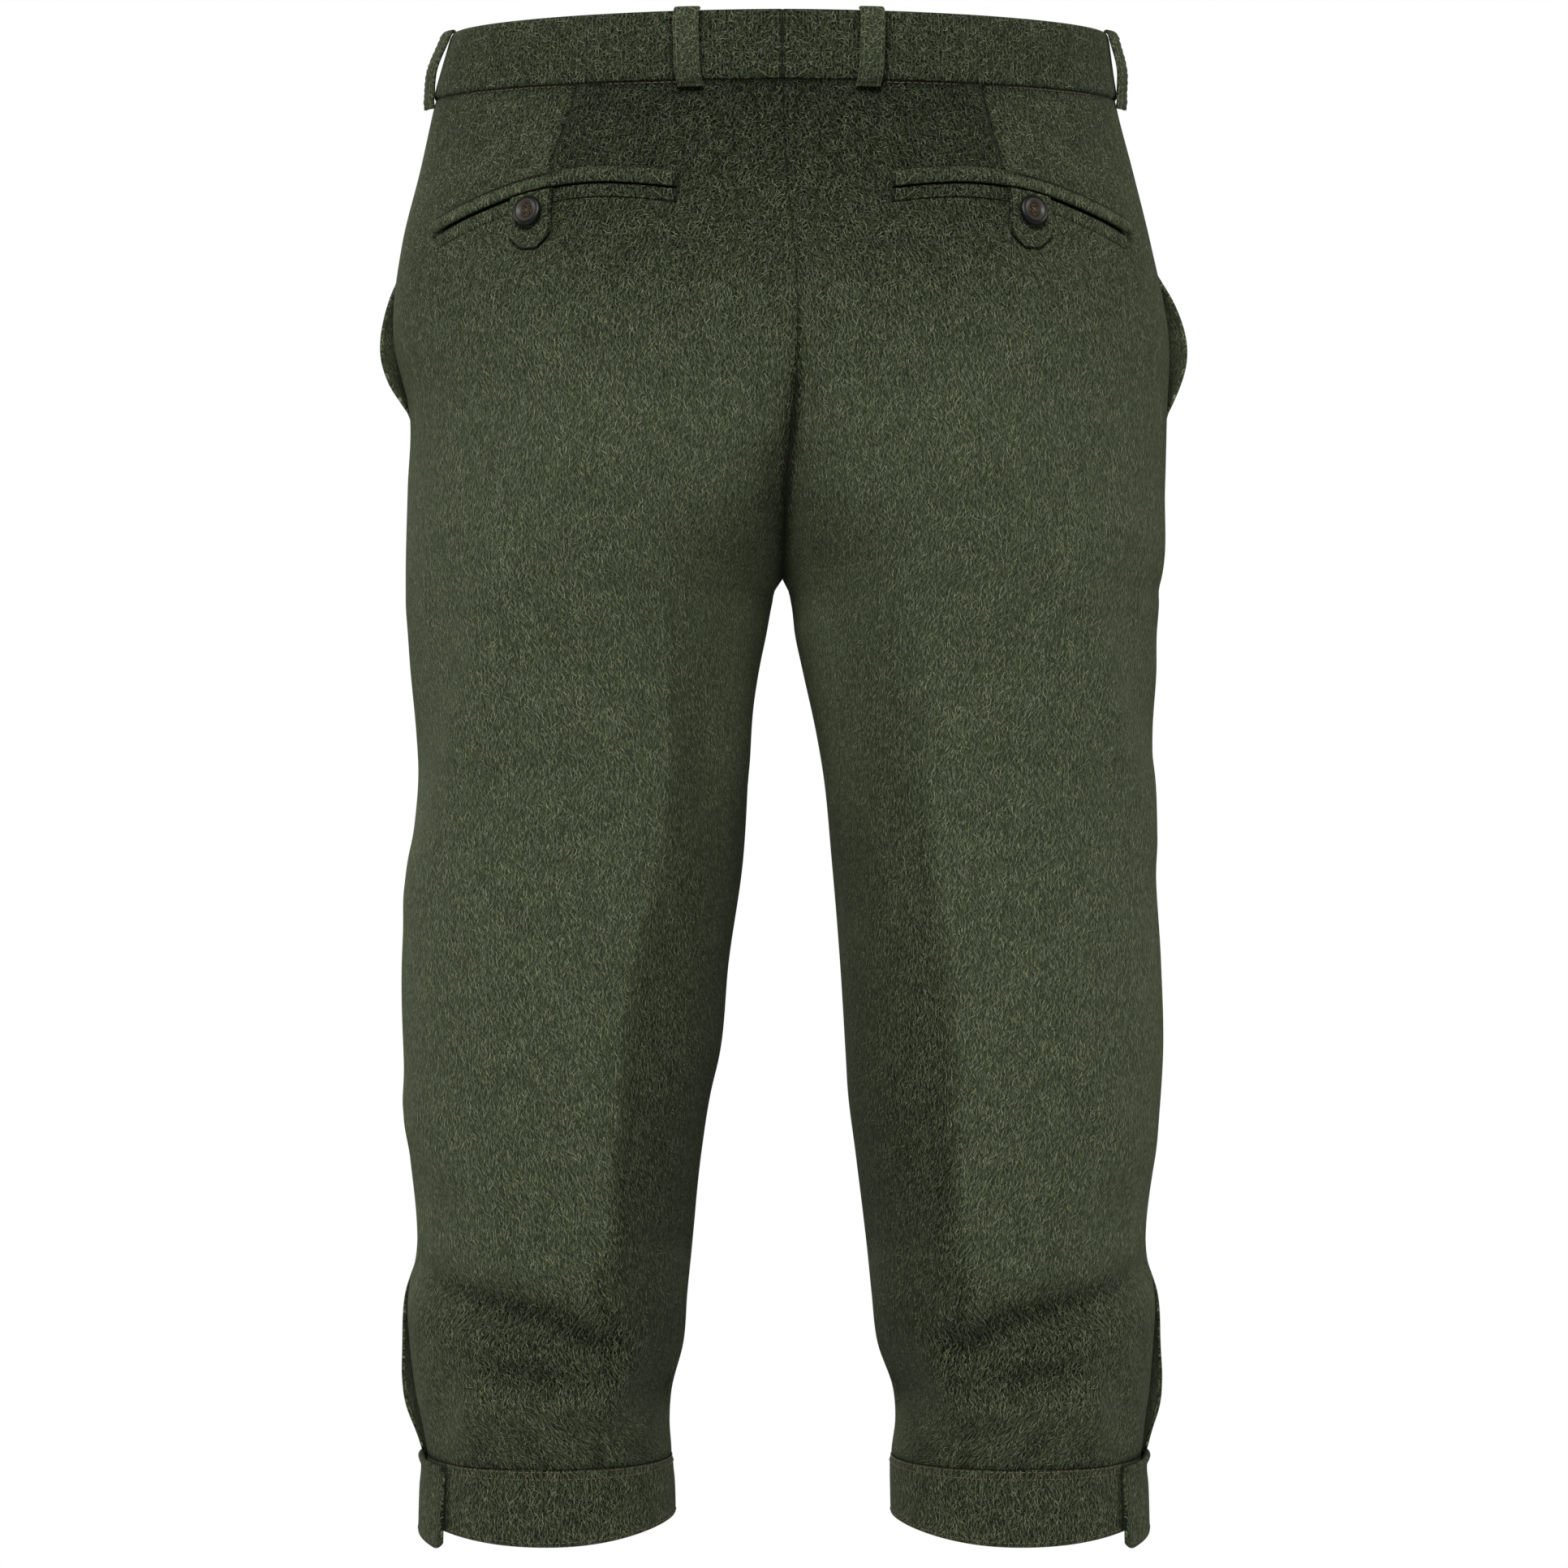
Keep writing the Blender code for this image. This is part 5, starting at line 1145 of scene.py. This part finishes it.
def turned_profile(profile, steps):
    """A closed mesh from a profile of (radius, height) points, turned about the Z axis."""
    mesh = bmesh.new()
    rings = []
    for radius, height in profile:
        turns = [2.0 * math.pi * n / steps for n in range(1 if radius == 0.0 else steps)]
        places = [(radius * math.cos(turn) * MM, radius * math.sin(turn) * MM, height * MM) for turn in turns]
        rings.append([mesh.verts.new(place) for place in places])
    for upper, lower in zip(rings, rings[1:]):
        for n in range(steps):
            corners = [upper[n % len(upper)], lower[n % len(lower)], lower[(n + 1) % len(lower)],
                       upper[(n + 1) % len(upper)]]
            mesh.faces.new(list(dict.fromkeys(corners)))
    bmesh.ops.recalc_face_normals(mesh, faces=mesh.faces)
    return mesh


def linked(name, mesh):
    """An object from a bmesh."""
    data = bpy.data.meshes.new(name)
    mesh.to_mesh(data)
    mesh.free()
    return placed(name, data)


def made_plain(thing):
    """Puts the object's mesh, as its modifiers leave it, in place of the one it had."""
    plain = bpy.data.meshes.new_from_object(thing.evaluated_get(bpy.context.evaluated_depsgraph_get()))
    thing.modifiers.clear()
    old = thing.data
    thing.data = plain
    bpy.data.meshes.remove(old)


def button(name, point, normal):
    """A dished button with four holes, its back on the point given and its face outward."""
    thing = linked(name + "_turned", turned_profile(BUTTON_PROFILE, 56))
    drills = []
    for number in range(4):
        angle = math.pi / 4.0 + number * math.pi / 2.0
        mesh = turned_profile(((0.0, 5.0), (HOLE_RADIUS, 5.0), (HOLE_RADIUS, -2.0), (0.0, -2.0)), 14)
        bmesh.ops.translate(mesh, verts=mesh.verts,
                            vec=Vector((math.cos(angle), math.sin(angle), 0.0)) * HOLE_OUT * MM)
        drills.append(linked(f"{name}_drill_{number + 1}", mesh))
        hole = thing.modifiers.new(f"hole_{number + 1}", "BOOLEAN")
        hole.object = drills[-1]
        hole.operation = "DIFFERENCE"
        hole.solver = "EXACT"
    made_plain(thing)
    data = thing.data
    out = [math.hypot(vertex.co.x, vertex.co.y) / (BUTTON_WIDTH / 2.0 * MM) for vertex in data.vertices]
    data.attributes.new("from_middle", "FLOAT", "POINT").data.foreach_set("value", out)
    for drill in drills:
        bpy.data.objects.remove(drill, do_unlink=True)
    turn = Vector(normal).to_track_quat("Z", "Y").to_matrix().to_4x4()
    place = Matrix.Translation(Vector(point) * MM) @ turn
    data.transform(place)
    data.shade_smooth()
    data.set_sharp_from_angle(angle=math.radians(40.0))
    data.materials.clear()
    data.materials.append(BUFFALO_HORN)
    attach(thing, "root")
    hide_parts(name)
    return place


def pocket_button(side):
    """The back pocket's button, on its tab."""
    across, height = tab_place(side, BUTTON_DROP / TAB_LENGTH)
    point, normal = cloth_and_normal(side, BACK, turn_at(side, BACK, across, height), height)
    lift = TAB_OVER_WELT + TRIM_CLOTH + 0.5
    return button(sided("back_pocket_button", side), point + normal * lift, normal)


def waist_button():
    """The button that closes the waistband's lap."""
    point, normal = cloth_and_normal(RIGHT, FRONT, turn_at(RIGHT, FRONT, BAND_LAP - 14.0, 0.0), 0.0)
    lift = BAND_PROUD + BAND_THICK + SEAM_GAP + 0.8
    return button("waist_button", point + normal * lift, normal)


# ---------------------------------------------------------------- stitching

def stitching_tree():
    """Nodes that lay stitches along rows of points, each turned a little out of line."""
    tree, given, made = node_group(
        "stitching", "GeometryNodeTree",
        {"Rows": "Geometry", "Pitch": "Float", "Length": "Float", "Width": "Float", "Out of Line": "Float",
         "Thread": "Material"},
        {"Stitches": "Geometry"})
    rows = add_node(tree, "GeometryNodeMeshToCurve", {"Mesh": given["Rows"]})
    marks = add_node(tree, "GeometryNodeResampleCurve", {"Curve": rows, "Length": given["Pitch"]},
                     mode="LENGTH")
    tangent = add_node(tree, "GeometryNodeInputTangent")
    lying = add_node(tree, "FunctionNodeAlignRotationToVector", {"Vector": tangent}, axis="Z")
    chance = add_node(tree, "FunctionNodeRandomValue",
                      {"Min": (-1.0, -1.0, 0.0), "Max": (1.0, 1.0, 0.0), "Seed": 7}, data_type="FLOAT_VECTOR")
    wobble = add_node(tree, "ShaderNodeVectorMath", {0: chance, 1: given["Out of Line"]},
                      operation="MULTIPLY")
    wobbled = add_node(tree, "FunctionNodeEulerToRotation", {"Euler": wobble})
    turned = add_node(tree, "FunctionNodeRotateRotation", {"Rotation": lying, "Rotate By": wobbled},
                      rotation_space="LOCAL")
    bead = add_node(tree, "GeometryNodeMeshUVSphere", {"Segments": 6, "Rings": 5, "Radius": 0.5})
    shape = add_node(tree, "ShaderNodeCombineXYZ",
                     {"X": given["Width"], "Y": given["Width"], "Z": given["Length"]})
    stitch = add_node(tree, "GeometryNodeTransform", {"Geometry": bead, "Scale": shape})
    laid = add_node(tree, "GeometryNodeInstanceOnPoints",
                    {"Points": marks, "Instance": stitch, "Rotation": turned})
    real = add_node(tree, "GeometryNodeRealizeInstances", {"Geometry": laid})
    rounded = add_node(tree, "GeometryNodeSetShadeSmooth", {"Geometry": real})
    sewn = add_node(tree, "GeometryNodeSetMaterial", {"Geometry": rounded, "Material": given["Thread"]})
    set_inputs(tree, made, {"Stitches": sewn})
    return tree


STITCHING = stitching_tree()
ON_TOP = 0.05           # how far a stitch's middle lies over the cloth


def stitches(name, rows, pitch, length, width, thread, out_of_line=0.08):
    """Stitches along rows of points in millimetres, as one plain mesh."""
    edges, start = [], 0
    for row in rows:
        edges += [(n, n + 1) for n in range(start, start + len(row) - 1)]
        start += len(row)
    data = bpy.data.meshes.new(name)
    data.from_pydata((np.concatenate(rows) * MM).tolist(), edges, [])
    thing = placed(name, data)
    sewn = thing.modifiers.new("stitching", "NODES")
    sewn.node_group = STITCHING
    values = {"Pitch": pitch * MM, "Length": length * MM, "Width": width * MM, "Out of Line": out_of_line,
              "Thread": thread}
    for socket in STITCHING.interface.items_tree:
        if socket.in_out == "INPUT" and socket.name in values:
            sewn[socket.identifier] = values[socket.name]
    made_plain(thing)
    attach(thing, "root")


def loop_rows(side, face, turn_degrees, width):
    """Two rows down each belt loop."""
    row_out = width / 2.0 - 1.9
    grid = loop_place(side, face, turn_degrees, np.array((-row_out, row_out)), CLOTH + ON_TOP)
    return [grid[3:-3, 0], grid[3:-3, 1]]


def waist_rows(side):
    """Two stretches of the seam under the band, where its thread shows."""
    rows = []
    for inner, outer in ((52.0, 84.0), (112.0, 152.0)):
        across = np.linspace(inner, outer, 14)
        heights = np.full(len(across), -18.2)
        rows.append(moved_out(side, BACK, turn_at(side, BACK, across, heights), heights,
                              np.full(len(across), 0.3)))
    return rows


def cuff_rows(side):
    """Two rows under the cuff's seam and one over its hem, from the tab round to the vent."""
    front_end, back_end = (math.radians(abs(turn)) + 0.02 for turn in CUFF_TAB_TURNS)
    stations = [(BACK, turn) for turn in np.linspace(back_end, math.pi, 48)[:-1]]
    stations += [(FRONT, turn) for turn in np.linspace(math.pi, front_end, 52)]
    length = CUFF_TOP - CUFF_BOTTOM
    shares = np.array((0.9 / length, 4.5 / length, 1.0 - 2.4 / length))
    return list(np.stack([cuff_place(side, face, turn, shares, ON_TOP) for face, turn in stations], axis=1))


def cuff_tab_rows(side):
    """A row round the tab's free end."""
    def place(along, *shares):
        return cuff_tab_place(side, along, np.array(shares), CUFF_TAB_THICK + ON_TOP)

    root, end = 0.03, 0.955
    upper = [place(along, 0.07) for along in np.linspace(root, end, 26)]
    lower = [place(along, 0.94) for along in np.linspace(end, root, 26)]
    return [np.concatenate([*upper, place(end, *np.linspace(0.12, 0.90, 10)), *lower])]


def pocket_tab_rows(side):
    """A row round the pocket tab, a little in from its edge."""
    down = np.linspace(0.22, 0.93, 12)
    shares = np.concatenate((down, np.full(5, 0.93), down[::-1]))
    across = np.concatenate((np.full(12, -0.82), np.linspace(-0.6, 0.6, 5), np.full(12, 0.82)))
    return [pocket_tab_place(side, across, shares, TRIM_CLOTH + 0.04)]


def fly_rows():
    """The curved row that holds the fly's lap."""
    heights = np.linspace(-19.0, FLY_END + 3.0, 50)
    across = np.maximum(fly_far(heights) - 4.0, FLY_EDGE + 3.0)
    return [fly_place(across, heights, REST_GAP + TRIM_CLOTH + ON_TOP)]


def side_pocket_rows(side):
    """A row beside the slanted mouth of the side pocket."""
    heights = np.linspace(-19.0, POCKET_END + 2.0, 48)
    _, _, depth, _ = ring(side, FRONT, heights)
    turns = np.arcsin(((pocket_slant(heights) + 5.5) / depth) ** (1.0 / roundness(heights)))
    return [moved_out(side, FRONT, turns, heights, np.full(len(turns), ON_TOP))]


def button_thread_rows(place):
    """The crossed thread that holds a button, over the bridge between its holes."""
    out = HOLE_OUT / math.sqrt(2.0)
    rows = []
    for start, end in (((-out, -out), (out, out)), ((-out, out), (out, -out))):
        shares = np.linspace(0.0, 1.0, 7)
        rise = BRIDGE_HEIGHT + THREAD_RISE * np.sin(shares * math.pi)
        points = [Vector(((start[0] + (end[0] - start[0]) * share) * MM,
                          (start[1] + (end[1] - start[1]) * share) * MM, height * MM))
                  for share, height in zip(shares, rise)]
        rows.append(np.array([place @ point for point in points]) / MM)
    return rows


def sew():
    """All the stitching that shows."""
    seams, edges = [], []
    for side in BOTH:
        seams += cuff_rows(side) + waist_rows(side)
        edges += cuff_tab_rows(side) + pocket_tab_rows(side) + side_pocket_rows(side)
    for _, side, face, turn_degrees, width in LOOPS:
        seams += loop_rows(side, face, turn_degrees, width)
    edges += fly_rows()
    stitches("brown_topstitching", seams, 3.1, 2.4, 0.55, BROWN_THREAD)
    stitches("green_topstitching", edges, 3.0, 2.4, 0.5, GREEN_THREAD)


# ---------------------------------------------------------------- studio

CAMERA_BACK = 3.0
CAMERA_HEIGHT = -0.300
AIM_HEIGHT = -0.3619
CAMERA_SIDE = -0.0008
LENS = 136.3
FLOOR_HEIGHT = -1.08    # where the wearer's heels would be


def camera():
    """A level camera behind the garment, its frame shifted down to hold the garment in its middle."""
    data = bpy.data.cameras.new("camera")
    data.lens = LENS
    data.sensor_width = 36.0
    data.shift_y = (AIM_HEIGHT - CAMERA_HEIGHT) / CAMERA_BACK * LENS / data.sensor_width
    thing = placed("camera", data)
    thing.location = (CAMERA_SIDE, CAMERA_BACK, CAMERA_HEIGHT)
    thing.rotation_euler = Vector((0.0, -1.0, 0.0)).to_track_quat("-Z", "Y").to_euler()
    bpy.context.scene.camera = thing


def softbox(name, place, size, power):
    """A square soft light that faces the middle of the garment."""
    data = bpy.data.lights.new(name, "AREA")
    data.shape = "SQUARE"
    data.size = size
    data.energy = power
    thing = placed(name, data)
    thing.location = place
    aim = Vector((0.0, 0.0, AIM_HEIGHT)) - thing.location
    thing.rotation_euler = aim.to_track_quat("-Z", "Y").to_euler()


def studio():
    """A pale floor, a soft light above and behind the wearer, weaker ones at both sides and in front."""
    mesh = bmesh.new()
    bmesh.ops.create_grid(mesh, x_segments=24, y_segments=24, size=2.0)
    floor = linked("floor", mesh)
    floor.data.transform(Matrix.Translation((0.0, 0.0, FLOOR_HEIGHT)))
    floor.data.materials.append(painted_floor("matt_white_floor"))
    softbox("softbox_above", (0.25, 3.6, 2.3), 1.3, 250.0)
    softbox("softbox_left", (2.6, -0.5, 0.0), 1.3, 31.0)
    softbox("softbox_right", (-2.6, -0.5, 0.0), 1.3, 31.0)
    softbox("softbox_front", (0.6, -3.0, 2.3), 1.4, 110.0)
    world = bpy.data.worlds.new("pale_surround")
    bpy.context.scene.world = world
    world.use_nodes = True
    tree = world.node_tree
    seen = add_node(tree, "ShaderNodeLightPath").outputs["Is Camera Ray"]
    bright = add_node(tree, "ShaderNodeMapRange", {"Value": seen, "To Min": 0.12, "To Max": 1.0})
    set_inputs(tree, tree.nodes["Background"], {"Color": (1.0, 1.0, 1.0, 1.0), "Strength": bright})
    bpy.context.scene.view_settings.view_transform = "Standard"


def dress():
    """All the pieces of the garment, then their stitches."""
    button_places = []
    for side in BOTH:
        for face in (BACK, FRONT):
            leg_panel(side, face)
        waistband(side)
        welts(side)
        pocket_tab(side)
        button_places.append(pocket_button(side))
        side_pocket_facing(side)
        cuff(side)
        cuff_tab(side)
    for loop in LOOPS:
        belt_loop(*loop)
    fly()
    button_places.append(waist_button())
    sew()
    threads = [row for place in button_places for row in button_thread_rows(place)]
    stitches("button_thread", threads, 0.45, 0.9, 0.5, BROWN_THREAD, out_of_line=0.3)


camera()
studio()
dress()
